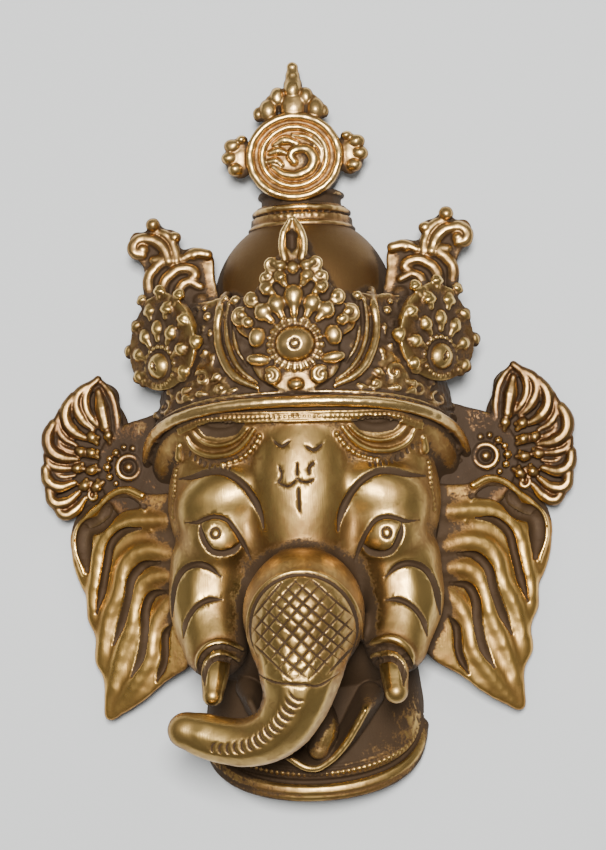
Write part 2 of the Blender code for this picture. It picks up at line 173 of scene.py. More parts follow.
def fused(mesh, grid, soften=0):
    """Overlapping closed forms grown into one skin on a grid, with their seams softened."""
    grid *= 1
    skin = modified(mesh, "REMESH", mode="VOXEL", voxel_size=grid * UNIT)
    if soften:
        skin = modified(skin, "SMOOTH", factor=0.5, iterations=soften)
    return skin


def uneven(mesh, amount, size):
    """The mesh with its skin made a little uneven, as hands and a rough mould leave it."""
    spots = vertex_values(mesh, "co", 3)
    normals = vertex_values(mesh, "normal", 3)
    bumps = [lumps.noise(Vector(spot)) for spot in spots / (size * UNIT)]
    spots += normals * (np.array(bumps) * amount * UNIT)[:, None]
    mesh.vertices.foreach_set("co", spots.astype(np.float32).ravel())
    mesh.update()
    return mesh


def squared(x, z, square):
    """A point of a round cross-section moved out to a squarer one."""
    reach = max(math.hypot(x, z), 1e-9)
    norm = (abs(x / reach) ** square + abs(z / reach) ** square) ** (1 / square)
    return x / norm, z / norm


def smooth_line(points, pitch):
    """Points at an even pitch along a smooth curve through the given ones."""
    knots = np.array([tuple(point) for point in points], float)
    ends = np.vstack((2 * knots[0] - knots[1], knots, 2 * knots[-1] - knots[-2]))
    share = np.linspace(0, 1, 13)[:-1, None]
    runs = []
    for a, b, c, d in zip(ends, ends[1:], ends[2:], ends[3:]):
        bend = (2 * a - 5 * b + 4 * c - d) * share ** 2 + (3 * b - a - 3 * c + d) * share ** 3
        runs.append(b + 0.5 * ((c - a) * share + bend))
    dense = np.vstack(runs + [knots[-1:]])
    reach = np.concatenate(([0], np.cumsum(np.linalg.norm(np.diff(dense, axis=0), axis=1))))
    marks = np.linspace(0, reach[-1], max(round(reach[-1] / pitch), 1) + 1)
    return np.stack([np.interp(marks, reach, column) for column in dense.T], axis=1)


class Wax:
    """Closed wax forms, in units of the figure, pressed onto each other before they are fused."""

    round_forms = {}

    def __init__(self, ground=None):
        self.meshes = [ground] if ground else []
        self.corners, self.triangles, self.count = [], [], 0
        self.ropes = bpy.data.curves.new("ropes", "CURVE")
        self.ropes.dimensions = "3D"
        self.ropes.bevel_depth = UNIT
        self.ropes.bevel_resolution = 3
        self.ropes.resolution_u = 6
        self.ropes.use_fill_caps = True

    def ball(self, centre, radii, turn=(0, 0, 0), square=2.0, facets=3):
        """A ball or egg of wax, turned by angles in degrees; square is over 2 for a boxy one."""
        if facets not in self.round_forms:
            shape = bmesh.new()
            bmesh.ops.create_icosphere(shape, subdivisions=facets, radius=1)
            corners = [vertex.co[:] for vertex in shape.verts]
            triangles = [[vertex.index for vertex in face.verts] for face in shape.faces]
            self.round_forms[facets] = (np.array(corners), np.array(triangles))
            shape.free()
        corners, triangles = self.round_forms[facets]
        if square > 2:
            norm = (abs(corners[:, 0]) ** square + abs(corners[:, 2]) ** square) ** (1 / square)
            reach = np.hypot(corners[:, 0], corners[:, 2])
            corners = corners * np.stack([reach / norm, np.ones(len(norm)), reach / norm], axis=1)
        spin = np.array(Euler([math.radians(angle) for angle in turn]).to_matrix())
        self.corners.append((corners * radii) @ spin.T + np.array(centre))
        self.triangles.append(triangles + self.count)
        self.count += len(corners)

    def rope(self, points, thick, start=1.0, end=1.0, closed=False):
        """A round strand through the points; start and end are the shares of its thickness there."""
        count = len(points)
        radii = [thick] * count if not hasattr(thick, "__len__") else list(thick)
        radii[0] *= start
        radii[-1] *= end
        if not closed:
            for point, radius in ((points[0], radii[0]), (points[-1], radii[-1])):
                self.ball(point, radius, facets=2 if radius < 2 else 3)
        spline = self.ropes.splines.new("BEZIER")
        spline.bezier_points.add(count - 1)
        spline.use_cyclic_u = closed
        for knot, point, radius in zip(spline.bezier_points, points, radii):
            knot.co = Vector(point) * UNIT
            knot.radius = radius
            knot.handle_left_type = "AUTO"
            knot.handle_right_type = "AUTO"

    def beads(self, points, radius, pitch):
        """A row of beads along a line."""
        for point in smooth_line(points, pitch):
            self.ball(point, radius, facets=2)

    def curl(self, centre, size, start, sweep, thick, height):
        """A scroll that winds in to a small ball; angles in degrees, height(x, y) its Z."""
        points = []
        steps = max(round(abs(sweep) / 40), 3)
        for step in range(steps + 1):
            share = step / steps
            angle = math.radians(start + sweep * share)
            reach = size * (1 - 0.72 * share)
            x = centre[0] + reach * math.cos(angle)
            y = centre[1] + reach * math.sin(angle)
            points.append((x, y, height(x, y)))
        self.rope(points, thick, start=0.7)
        self.ball(points[-1], thick * 1.35, facets=2)

    def petal(self, foot, tip, wide, thick, height):
        """A drop-shaped petal from its narrow foot to its round tip."""
        foot, tip = Vector(foot), Vector(tip)
        points = [(*foot.lerp(tip, share), height(*foot.lerp(tip, share))) for share in (0, 0.4, 0.8)]
        self.rope(points, [thick * 0.55, thick * 0.85, thick])
        angle = math.degrees(math.atan2(tip.y - foot.y, tip.x - foot.x))
        middle = foot.lerp(tip, 0.6)
        length = (tip - foot).length
        self.ball((*middle, height(*middle)), (length * 0.46, wide * 1.14, thick * 1.1), (0, 0, angle))

    def drum(self, bottom, top, wide_low, wide_high, flatness, square=2.0, slant=0.0):
        """A drum along Y with an oval or squarer cross-section, and its lower end cut aslant."""
        turn = Matrix.Rotation(math.radians(-90), 4, "X")
        spot = Matrix.Translation(Vector((0, (bottom + top) / 2, 0)) * UNIT)
        shape = bmesh.new()
        bmesh.ops.create_cone(shape, cap_ends=True, segments=96, radius1=wide_low * UNIT,
                              radius2=wide_high * UNIT, depth=(top - bottom) * UNIT, matrix=spot @ turn)
        for vertex in shape.verts:
            x, z = squared(vertex.co.x, vertex.co.z, square)
            vertex.co.x = x
            vertex.co.z = z * flatness
            if vertex.co.y < (bottom + top) / 2 * UNIT:
                rise = z / UNIT / wide_low
                vertex.co.y += slant * math.copysign(abs(rise) ** SLANT_BEND, rise) * UNIT
        drum = bpy.data.meshes.new("drum")
        shape.to_mesh(drum)
        shape.free()
        self.meshes.append(drum)

    def plate(self, outline, thickness, height, grid=0.7):
        """A plate cut to an outline, whose middle then lies at height(x, y)."""
        curve = bpy.data.curves.new("outline", "CURVE")
        curve.dimensions = "2D"
        curve.fill_mode = "BOTH"
        curve.extrude = thickness / 2 * UNIT
        spline = curve.splines.new("BEZIER")
        spline.bezier_points.add(len(outline) - 1)
        spline.use_cyclic_u = True
        for knot, (x, y) in zip(spline.bezier_points, outline):
            knot.co = Vector((x, y, 0)) * UNIT
            knot.handle_left_type = "AUTO"
            knot.handle_right_type = "AUTO"
        sheet = fused(mesh_of_curve(curve), grid)
        for vertex in sheet.vertices:
            vertex.co.z += height(vertex.co.x / UNIT, vertex.co.y / UNIT) * UNIT
        self.meshes.append(sheet)

    def mesh(self):
        """All the forms in one mesh."""
        shape = bmesh.new()
        if self.ropes.splines:
            self.meshes.append(mesh_of_curve(self.ropes))
        if self.corners:
            balls = bpy.data.meshes.new("balls")
            balls.from_pydata(np.vstack(self.corners) * UNIT, (), np.vstack(self.triangles))
            self.meshes.append(balls)
        for part in self.meshes:
            shape.from_mesh(part)
        mesh = bpy.data.meshes.new("wax")
        shape.to_mesh(mesh)
        shape.free()
        return mesh


def mesh_of_curve(curve):
    """The closed mesh of a curve with its end caps welded."""
    item = bpy.data.objects.new("curve", curve)
    bpy.context.scene.collection.objects.link(item)
    mesh = mesh_of(item)
    bpy.data.objects.remove(item, do_unlink=True)
    shape = bmesh.new()
    shape.from_mesh(mesh)
    bmesh.ops.remove_doubles(shape, verts=shape.verts, dist=0.00001)
    shape.to_mesh(mesh)
    shape.free()
    return mesh


class Ground:
    """A fused form that finer work is laid on."""

    def __init__(self, mesh):
        self.mesh = mesh
        shape = bmesh.new()
        shape.from_mesh(mesh)
        self.tree = BVHTree.FromBMesh(shape)
        shape.free()

    def height(self, x, y):
        """Z of the form's top at a place."""
        spot = self.tree.ray_cast(Vector((x * UNIT, y * UNIT, 1)), Vector((0, 0, -1)))[0]
        return spot.z / UNIT if spot else 0

    def laid(self, points, lift=0):
        """Flat points laid on the form."""
        return [(x, y, self.height(x, y) + lift) for x, y in points]


def vertex_values(mesh, name, width):
    """A row of numbers for each point of the mesh."""
    values = np.empty(len(mesh.vertices) * width, np.float32)
    mesh.vertices.foreach_get(name, values)
    return values.reshape(-1, width).astype(float)


def cut_depth(spots, cuts):
    """How deep the graver goes at each spot. A cut is its points, width, depth and lowest Z."""
    sink = np.zeros(len(spots))
    for points, width, depth, ground in cuts:
        line = smooth_line(points, 0.7)
        inside = (spots[:, :2] > line.min(0) - width) & (spots[:, :2] < line.max(0) + width)
        near = np.nonzero(inside.all(axis=1) & (spots[:, 2] > ground))[0]
        if not len(near):
            continue
        step = np.diff(line, axis=0)
        offset = spots[near, None, :2] - line[:-1]
        share = np.clip((offset * step).sum(2) / (step ** 2).sum(1), 0, 1)
        gap = np.linalg.norm(offset - share[..., None] * step, axis=2)
        rows, nearest = np.arange(len(near)), gap.argmin(1)
        along = (nearest + share[rows, nearest]) / len(step)
        taper = np.clip(np.minimum(along, 1 - along) * 5, 0.15, 1) ** 0.6
        if np.linalg.norm(line[0] - line[-1]) < 0.1:
            taper = np.ones(len(near))
        fall = np.clip(1 - gap[rows, nearest] / (width / 2 * taper), 0, 1)
        sink[near] = np.maximum(sink[near], depth * taper * fall * (2 - fall))
    return sink


def engraved(mesh, cuts):
    """The mesh with the lines cut into what faces up."""
    spots = vertex_values(mesh, "co", 3) / UNIT
    normals = vertex_values(mesh, "normal", 3)
    sink = cut_depth(spots, cuts)
    spots -= normals * (sink * np.clip(normals[:, 2] * 2, 0, 1))[:, None]
    mesh.vertices.foreach_set("co", (spots * UNIT).astype(np.float32).ravel())
    mesh.update()
    return mesh


def mirrored(points, side):
    return [(side * point[0], *point[1:]) for point in points]


def arc(centre, radii, start, end, count):
    """Points along an oval arc, in degrees."""
    angles = [math.radians(start + (end - start) * step / (count - 1)) for step in range(count)]
    return [(centre[0] + radii[0] * math.cos(a), centre[1] + radii[1] * math.sin(a)) for a in angles]


CROWN_FOOT = -21         # the foot at the crown's sides, and how much higher it is over the brow
CROWN_SLANT = 25
CROWN_WIDE = (46.5, 38)  # half its width at the foot and at the top
CROWN_FLATNESS = 0.92
CROWN_SQUARE = 2.6       # 2 is an oval, and more is boxier
BROW_SQUARE = 2.6
SLANT_BEND = 0.55        # how soon an aslant edge levels out towards the front
NECK_SIDE = -84          # where the neck ends at its sides and at its front
NECK_FRONT = -106.8
NECK_RADII = (32.5, 19)
TRUNK_PATH = [(0, -60, 50), (-0.5, -72, 54), (-2.7, -80, 54), (-7.5, -86, 52), (-15, -88.8, 50),
              (-22, -88.3, 49), (-28.6, -86.6, 48.5), (-32.5, -85.4, 48.5)]
TRUNK_RADII = [15, 11.4, 9, 7.9, 7.1, 6.7, 6.3, 5.3]
TUSK = [(24.5, -64, 38), (24.9, -71, 42.5), (25.3, -76.4, 45.4)]
TUSK_ROOT = 38           # the folds round the tusks don't fall below this height


def face_body(wax, inset):
    """The soft forms of the face, drawn in by the inset so that they also make the hollow."""
    def ball(centre, radii, turn=(0, 0, 0), square=2.0):
        wax.ball(centre, [radius - inset for radius in radii], turn, square, facets=4)

    # the skull, the brow, the chin, the ridge of the forehead and the ball of the trunk
    ball((0, -24, 0), (41.5, 48, 42))
    ball((0, -3, 0), (44.5, 27, 40.5), square=BROW_SQUARE)
    ball((0, -50, 0), (39.5, 33, 30))
    ball((0, -20, 34), (15, 28, 12))
    ball((0.5, -54.5, 44), (17, 18.5, 22))
    # a brow, an eye and a cheek on each side
    for side in (-1, 1):
        ball((side * 21, -21, 31), (16, 10.5, 11), (0, 0, side * -18))
        ball((side * 24, -33, 33), (10, 9, 9.5))
        cheek = [(26, -40, 26), (27.5, -52, 28), (25.5, -63, 33)]
        wax.rope(mirrored(cheek, side), [13 - inset, 12 - inset, 9.5 - inset])


def neck_body(wax, inset, overshoot):
    """The neck, a half-round spout whose end is cut aslant, further out at the front."""
    wide, tall = (radius - inset for radius in NECK_RADII)
    wax.drum(NECK_SIDE - overshoot, -70, wide, wide * 0.94, tall / wide, slant=NECK_FRONT - NECK_SIDE)


def neck_line(wide, tall, out, count=17):
    """Points round the neck's edge; out moves them along it from the lip."""
    points = []
    for step in range(count):
        angle = math.radians(5 + 170 * step / (count - 1))
        rise = math.sin(angle)
        reach = NECK_SIDE + (NECK_FRONT - NECK_SIDE) * rise ** SLANT_BEND
        points.append((wide * math.cos(angle), reach + out, tall * rise))
    return points


def band_line(y_above, lift, count=23, start=4):
    """Points round the band, a little above its slanting foot."""
    points = []
    for step in range(count):
        angle = math.radians(start + (180 - 2 * start) * step / (count - 1))
        x, rise = squared(math.cos(angle), math.sin(angle), CROWN_SQUARE)
        y = CROWN_FOOT + CROWN_SLANT * rise ** SLANT_BEND + y_above
        wide = CROWN_WIDE[0] + lift
        points.append((x * wide, y, CROWN_FLATNESS * rise * wide))
    return points


soft = Wax()
face_body(soft, 0)
# fuller brows, temples and cheeks than the hollow behind them has
for side in (-1, 1):
    soft.ball((side * 22.5, -27, 32.5), (13, 11.5, 8), facets=4)
    soft.ball((side * 27, -22, 24), (12.5, 19, 11), facets=4)
    soft.ball((side * 12, -23, 31), (8, 16, 9), facets=4)
    soft.rope(mirrored([(24, -28, 28), (26, -40, 28), (27, -50, 27)], side), 11.5)
# the skin rises to meet the crown's cord
for drop, lift, thick in ((-0.8, -1.6, 1.7), (-2.4, -2.6, 2.2), (-4.6, -4, 2.8)):
    soft.rope(band_line(drop, lift), thick)
soft = Wax(fused(soft.mesh(), 1.0, soften=14))
soft.rope(TRUNK_PATH, TRUNK_RADII)
face_ground = Ground(uneven(fused(soft.mesh(), 0.8, soften=10), 0.25, 12))
wax = Wax(face_ground.mesh)
neck_body(wax, 0, 0)
# the neck's flared edge, with a groove and a row of beads above it
wax.rope(neck_line(31.2, 17.9, 1.9), 2.3)
wax.rope(neck_line(31.4, 18, 0.3), 1.7)
wax.beads(neck_line(31.2, 18.9, 6.6, 33), 0.85, 1.6)
wax.rope(neck_line(30.9, 18.6, 8.4), 0.6)

# the lower jaw is a thin-edged cup with the tongue lying in it
LOWER_LIP = [(-17, -79, 26), (-12, -89, 25), (-5, -96, 24.4), (0.5, -98.4, 24.4), (5, -96.4, 25),
             (9.6, -92, 26), (12.6, -87.6, 27), (16, -82, 28)]
jaw = Wax()
jaw.rope(LOWER_LIP, 1.1)
for drop, thick in ((1.2, 1.3), (2.4, 1.5), (3.6, 1.8), (5, 2.3), (6.6, 2.8), (8.6, 3.4), (11, 4)):
    jaw.rope([(x * (1 + 0.006 * drop), y + 0.34 * drop, z - drop) for x, y, z in LOWER_LIP], thick)
wax.meshes.append(fused(jaw.mesh(), 0.5, soften=7))
wax.ball((0, -84, 9), (17, 13.5, 9.5))
wax.rope([(1.5, -80, 19), (4, -87, 24), (2.4, -92.6, 24)], [4, 4.2, 3.4])

for side in (-1, 1):
    wax.rope(mirrored(TUSK, side), [4.2, 4, 3.3] if side > 0 else [4.4, 3.9, 2.9])
    # two folds of skin round the root of the tusk
    arches = (([(17.4, -63.8), (20.8, -62.3), (24.6, -62), (28, -64), (29.6, -67), (29.4, -70)], 1.15),
              ([(18.6, -66.9), (21.4, -65.4), (24.6, -65.3), (27, -66.9), (28.2, -69.6), (27.8, -72)], 1.1))
    for arch, thick in arches:
        points = [(x, y, max(z, TUSK_ROOT)) for x, y, z in face_ground.laid(mirrored(arch, side), 0.4)]
        wax.rope(points, thick, start=0.6, end=0.6)
    # raised hoods over the brows, with beads below them and down the temples, and a drop at the end
    hoods = ([(12.4, -2.6), (14.9, -5.9), (18.2, -8.4), (22.4, -9.4), (27, -8.8), (30.8, -6.4),
              (32.4, -3.6)],
             [(14.4, -2.4), (17, -4.9), (20.6, -6.3), (24.8, -6.3), (28.2, -4.7), (30.4, -2.4)])
    for hood, thick in zip(hoods, (0.9, 0.6)):
        wax.rope(face_ground.laid(mirrored(hood, side), 0.2), thick, start=0.6, end=0.6)
    bead_line = mirrored([(10.8, -4.6), (12.8, -7.6), (15.4, -9.8), (18.4, -11.2), (21.8, -12)], side)
    wax.beads(face_ground.laid(bead_line, 0.2), 0.85, 1.9)
    temple = mirrored([(36.1, -12.6), (36.5, -16), (36.6, -20), (37.2, -26)], side)
    wax.beads(face_ground.laid(temple, 0.2), 0.7, 1.6)
    drop = face_ground.laid([(side * 34.9, -5.8), (side * 35, -7.4), (side * 35, -9)], 0.2)
    wax.rope(drop, [0.9, 1.3, 1.5])
# a row of beads between two thin cords crosses the brow below the crown
for rise, thick in ((1.2, 0.5), (0, 0), (-1.2, 0.45)):
    line = face_ground.laid([(-34.6, -1.3 + rise), (-27, 0.8 + rise), (-14, 0.7 + rise), (0, 0.4 + rise),
                             (14, 0.3 + rise), (27, 0.2 + rise), (34.6, -2 + rise)], 0.5)
    if thick:
        wax.rope(line, thick)
    else:
        wax.beads(line, 0.66, 1.35)

# the hatched patch on the trunk's ball has a thin raised rim, broken below
PATCH = (1.0, -58.4)
PATCH_RADII = (15.4, 15.4)
rim = arc(PATCH, PATCH_RADII, -18, 198, 19)
wax.rope(face_ground.laid(rim, 0), 0.55, start=0.5, end=0.5)

FACE = 24                # cuts in the face stay above this height
SNOUT = 50               # and those in the trunk above this one
# the mark between the brows is a bowl of two curls with a stem, and two short strokes above it
cuts = [([(-5.6, -13.2), (-4.8, -15.1), (-5, -17), (-6.3, -18.1)], 0.9, 0.7, FACE),
        ([(-6.3, -17.8), (-3.2, -19.1), (-1.3, -18.2), (-0.2, -16.6)], 0.8, 0.7, FACE),
        ([(-0.4, -16.6), (0.6, -17.8), (2.8, -18.1), (4.7, -17.2)], 0.8, 0.7, FACE),
        ([(3.2, -16.4), (3.2, -14), (4.9, -12.4)], 1.0, 0.7, FACE),
        ([(-0.1, -12.2), (-0.3, -16.8)], 0.7, 0.7, FACE),
        ([(0, -19), (0.05, -23), (0.1, -26.9)], 0.8, 0.8, FACE)]
for side in (-1, 1):
    # the brow, the upper lid with its tail and tear line, the lower lid, the folds of the cheek and
    # the grooves round the tusk; the two sides are not quite level
    shift = -0.7 * side
    lines = (([(35, -15.9), (30.5, -15.6), (26.4, -14.6), (22.4, -14.5), (18.4, -16.4), (15.2, -19.4),
               (12.7, -23.4), (11, -27.6), (10.4, -31)], 2.3, 1.3),
             ([(33, -28.6), (29.4, -28.8), (26.8, -27.9), (24, -27.4), (20.8, -28.4), (18.4, -31.3),
               (16.6, -34.6), (14.6, -39.4)], 1.5, 1.0),
             ([(16.6, -34.4), (18.6, -36.7), (20.8, -37.6), (23.2, -37.7), (25.4, -36.8), (27.2, -34),
               (28.2, -30.6), (28, -29)], 2.0, 1.3),
             ([(7.2, -6.4), (4.6, -8.5), (2, -7)], 1.1, 0.7),
             ([(23, -44.2), (26.4, -41.4), (30.4, -40.6), (34.4, -42.4), (37, -47.4), (37.9, -55)],
              2.1, 1.3),
             ([(22.8, -50.6), (26.6, -50.6), (30.4, -52.6), (33.2, -56.4), (34.2, -61)], 1.8, 1.1),
             ([(17.4, -65.4), (21.2, -63.8), (24.6, -63.7), (27.6, -65.5), (29.4, -68.8), (29.6, -73)],
              1.6, 1.5),
             ([(18.4, -69), (20.6, -67.4), (23.6, -66.6), (26.2, -67.8), (27.6, -71), (27.4, -74)],
              1.8, 1.6))
    for points, width, depth in lines:
        moved = [(x, y + shift) for x, y in points]
        cuts.append((mirrored(moved, side), width, depth, FACE))
    pupil = (23.9, -32 + shift)
    cuts.append((arc((side * pupil[0], pupil[1]), (1.3, 1.5), 0, 360, 14), 0.8, 0.6, FACE))
    # the hollow inside each hood, and short strokes that carry on its row of beads
    hood_hollow = [(28.6, -0.9), (25.4, -2.3), (22, -2.8), (18.6, -2.3), (15.4, -0.9)]
    cuts.append((mirrored(hood_hollow, side), 3.6, 1.3, FACE))
    cuts.append((mirrored([(27.2, -0.8), (22, -1.1), (16.8, -0.8)], side), 2.6, 1.2, FACE))
    for step in range(9):
        share = step / 8
        x, y = 19.5 + 12 * share, -12.4 + 5 * share ** 2.2
        lash = [(x, y), (x + 0.6 - 0.2 * share, y - 1.9 + 0.3 * share)]
        cuts.append((mirrored(lash, side), 0.75, 0.55, FACE))

# crossed lines inside the patch, then short curved wrinkles down the back of the trunk
HATCH_PITCH = 2.9
for lean in (-43, 47):
    along = Vector((math.cos(math.radians(lean)), math.sin(math.radians(lean))))
    aside = Vector((-along.y, along.x))
    for row in range(-5, 6):
        offset = (row + 0.3 * (lean > 0) + 0.12 * math.sin(row * 5.3 + lean)) * HATCH_PITCH
        if abs(offset) > PATCH_RADII[0] - 1.6:
            continue
        half = math.sqrt(max((PATCH_RADII[0] - 1.2) ** 2 - offset ** 2, 0))
        centre = Vector(PATCH) + aside * offset
        points = [tuple(centre + along * half * share) for share in (-1, -0.5, 0, 0.5, 1)]
        cuts.append((points, 0.72, 0.55, SNOUT))
cuts.append((arc(PATCH, (PATCH_RADII[0] - 0.9, PATCH_RADII[1] - 0.9), -30, 210, 15), 1.1, 0.6, SNOUT))
# the fold below the patch
cuts.append(([(-12, -70.2), (-7.2, -72.3), (-2.8, -73), (1.4, -73.3), (5.5, -73.6), (10.5, -70.6)],
             0.9, 0.6, SNOUT - 8))
# the wrinkles
back = smooth_line([(-1.1, -76.5), (-4.6, -81.6), (-8, -85), (-12.6, -88.4), (-18, -89.9), (-24.4, -89.8),
                    (-32, -86.6)], 2.1)
for spot, beyond in zip(back[:-4], back[1:]):
    run = Vector(beyond - spot).normalized()
    aside = Vector((-run.y, run.x))
    spot = Vector(spot)
    share = 1 - 0.45 * min(abs(spot.x) / 32, 1)
    points = [tuple(spot + aside * reach * share - run * bow) for reach, bow in
              ((-2.3, 0.4), (-1, -0.35), (0.4, -0.5), (1.6, -0.2), (2.5, 0.5))]
    cuts.append((points, 0.85, 0.5, SNOUT - 6))
# the groove of the neck's edge, as far as the trunk's tip
flare = [(x, y) for x, y, z in neck_line(31.6, 18, 4.4, 25) if x > -26]
cuts.append((flare, 1.5, 1.4, 1))

castings = []


def cast(name, mesh, facets, cuts=()):
    """A wax model whose hollow is still to be cut; facets is how fine it stays."""
    item = bpy.data.objects.new(name, mesh)
    bpy.context.scene.collection.objects.link(item)
    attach(item, "root")
    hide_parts(NODE)
    castings.append((item, facets, cuts))
    return item


def old_brass_group():
    """Cast brass rubbed bright where hands reach it, darkened in its hollows by old soot and by painted
    shade.
    """
    group = bpy.data.node_groups.new("old_brass", "ShaderNodeTree")
    # the dark colour is old soot in the hollows and also painted shade
    for name, kind, value in (("Bright", "NodeSocketColor", (0.78, 0.5, 0.15, 1)),
                              ("Dull", "NodeSocketColor", (0.34, 0.19, 0.06, 1)),
                              ("Dirt And Shade", "NodeSocketColor", (0.042, 0.023, 0.01, 1)),
                              ("Dirt Reach", "NodeSocketFloat", 1.0),
                              ("Rub", "NodeSocketFloat", 0.5),
                              ("Gloss", "NodeSocketFloat", 0.27),
                              ("Brushing", "NodeSocketFloat", 0.5)):
        socket = group.interface.new_socket(name, in_out="INPUT", socket_type=kind)
        socket.default_value = value
    for name, kind in (("Color", "NodeSocketColor"), ("Roughness", "NodeSocketFloat"),
                       ("Metallic", "NodeSocketFloat"), ("Height", "NodeSocketFloat")):
        group.interface.new_socket(name, in_out="OUTPUT", socket_type=kind)
    inside = new_node(group, "NodeGroupInput")
    outside = new_node(group, "NodeGroupOutput")
    where = new_node(group, "ShaderNodeTexCoord")

    def link(source, target):
        group.links.new(source, target)

    def noise(scale, detail, stretch=(1, 1, 1)):
        mapping = new_node(group, "ShaderNodeMapping", {"Scale": stretch})
        made = new_node(group, "ShaderNodeTexNoise", {"Scale": scale, "Detail": detail})
        link(where.outputs["Object"], mapping.inputs["Vector"])
        link(mapping.outputs["Vector"], made.inputs["Vector"])
        return made.outputs["Fac"]

    def maths(operation, first, second, clamp=False):
        made = new_node(group, "ShaderNodeMath", operation=operation, use_clamp=clamp)
        for socket, value in zip(made.inputs, (first, second)):
            if isinstance(value, (int, float)):
                socket.default_value = value
            else:
                link(value, socket)
        return made.outputs[0]

    def ramp(value, start, end):
        made = new_node(group, "ShaderNodeMapRange", {"From Min": start, "From Max": end},
                        interpolation_type="SMOOTHSTEP")
        link(value, made.inputs["Value"])
        return made.outputs["Result"]

    def blend(share, first, second):
        made = new_node(group, "ShaderNodeMix", data_type="RGBA")
        link(share, made.inputs["Factor"])
        link(first, made.inputs[6])
        link(second, made.inputs[7])
        return made.outputs[2]

    hollow = new_node(group, "ShaderNodeAttribute", attribute_name="hollow").outputs["Fac"]
    crevice = new_node(group, "ShaderNodeAttribute", attribute_name="crevice").outputs["Fac"]
    cut_in = new_node(group, "ShaderNodeAttribute", attribute_name="cut").outputs["Fac"]
    ridge = new_node(group, "ShaderNodeAttribute", attribute_name="ridge").outputs["Fac"]
    cloud = noise(160, 5)
    speck = noise(1500, 4)
    # old soot and painted shade fill the deep places first, with a ragged edge
    edge = maths("MULTIPLY", maths("SUBTRACT", cloud, 0.5), 0.35)
    grit = maths("MULTIPLY", maths("SUBTRACT", speck, 0.5), 0.5)
    depth = maths("ADD", maths("ADD", maths("MULTIPLY", hollow, 0.9), maths("MULTIPLY", crevice, 0.6)), edge)
    depth = maths("MULTIPLY", maths("ADD", depth, grit), inside.outputs["Dirt Reach"])
    depth = maths("ADD", depth, cut_in)
    dirt = ramp(depth, 0.4, 0.85)
    # rubbing brings out the ridges, and leaves a dull warm tone in the broad low places, partly painted
    # shade
    rubbed = maths("ADD", maths("MULTIPLY", ridge, 0.9), inside.outputs["Rub"])
    rubbed = maths("ADD", rubbed, maths("MULTIPLY", maths("SUBTRACT", noise(60, 4), 0.5), 0.7))
    rubbed = maths("SUBTRACT", rubbed, maths("MULTIPLY", hollow, 0.8))
    shine = ramp(rubbed, 0.05, 0.85)
    metal = blend(shine, inside.outputs["Dull"], inside.outputs["Bright"])
    link(blend(maths("MULTIPLY", dirt, 0.94), metal, inside.outputs["Dirt And Shade"]), outside.inputs["Color"])
    link(maths("SUBTRACT", 1.0, maths("MULTIPLY", dirt, 0.6)), outside.inputs["Metallic"])
    scratches = noise(2600, 2, (1, 0.05, 1))
    rough = maths("ADD", inside.outputs["Gloss"], maths("MULTIPLY", maths("SUBTRACT", 1.0, shine), 0.16))
    rough = maths("ADD", rough, maths("MULTIPLY", maths("SUBTRACT", cloud, 0.5), 0.12))
    rough = maths("ADD", rough, maths("MULTIPLY", dirt, 0.3), clamp=True)
    link(rough, outside.inputs["Roughness"])
    lines = maths("MULTIPLY", scratches, inside.outputs["Brushing"])
    pits = maths("MULTIPLY", speck, maths("ADD", maths("MULTIPLY", dirt, 1.6), 0.25))
    link(maths("ADD", lines, pits), outside.inputs["Height"])
    return group


old_brass = old_brass_group()


def brass(name, **values):
    """Brass with the group's values for one part of the mask."""
    material = bpy.data.materials.new(name)
    material.use_nodes = True
    tree = material.node_tree
    surface = tree.nodes["Principled BSDF"]
    finish = new_node(tree, "ShaderNodeGroup", node_tree=old_brass)
    for key, value in values.items():
        finish.inputs[key.replace("_", " ").title()].default_value = value
    bump = new_node(tree, "ShaderNodeBump", {"Strength": 0.35, "Distance": 0.00012})
    for output, target in (("Color", "Base Color"), ("Roughness", "Roughness"), ("Metallic", "Metallic")):
        tree.links.new(finish.outputs[output], surface.inputs[target])
    tree.links.new(finish.outputs["Height"], bump.inputs["Height"])
    tree.links.new(bump.outputs["Normal"], surface.inputs["Normal"])
    return material


mesh = engraved(uneven(fused(wax.mesh(), 0.32, soften=1), 0.05, 2.2), cuts)
face = cast("face_and_trunk", mesh, 190000, cuts)
face.data.materials.append(brass("face_brass", bright=(0.6, 0.4, 0.135, 1), dull=(0.28, 0.155, 0.055, 1),
                                 rub=0.4, dirt_reach=1.45, gloss=0.32))

# The crown band and its rolled cord.
# A broad band rises from a rolled cord over the brow. Its ground is rough and dark, with a tall leaf
# in the middle, double ridges on both sides of it, and small flowers and curls filling the rest.
CROWN_TOP = 36
CORD_THICK = 1.7
LEAF_PLATE = 3.2         # how thick the leaves and ribbons are


def crown_body(wax, inset):
    """The band, drawn in by the inset so that it also makes the hollow."""
    wide_low, wide_high = (wide - inset for wide in CROWN_WIDE)
    wax.drum(CROWN_FOOT + inset, CROWN_TOP - inset, wide_low, wide_high, CROWN_FLATNESS,
             CROWN_SQUARE, CROWN_SLANT)


soft = Wax()
crown_body(soft, 0)
crown_ground = Ground(uneven(uneven(fused(soft.mesh(), 0.6, soften=3), 0.5, 2.1), 0.5, 5))
wax = Wax(crown_ground.mesh)
wax.rope(band_line(0.6, 0.8), CORD_THICK)
wax.rope(band_line(3.3, -0.1, start=10), 0.5)


def leaf_height(x, y):
    """Z of the middle of the centre leaf's plate."""
    return 42 - 0.06 * (y - 7) - 0.012 * x * x


def leaf_top(x, y):
    """Z of the plate's face."""
    return leaf_height(x, y) + LEAF_PLATE / 2


def raised(x, y):
    """Z of the petals laid on the plate."""
    return leaf_top(x, y) + 0.5


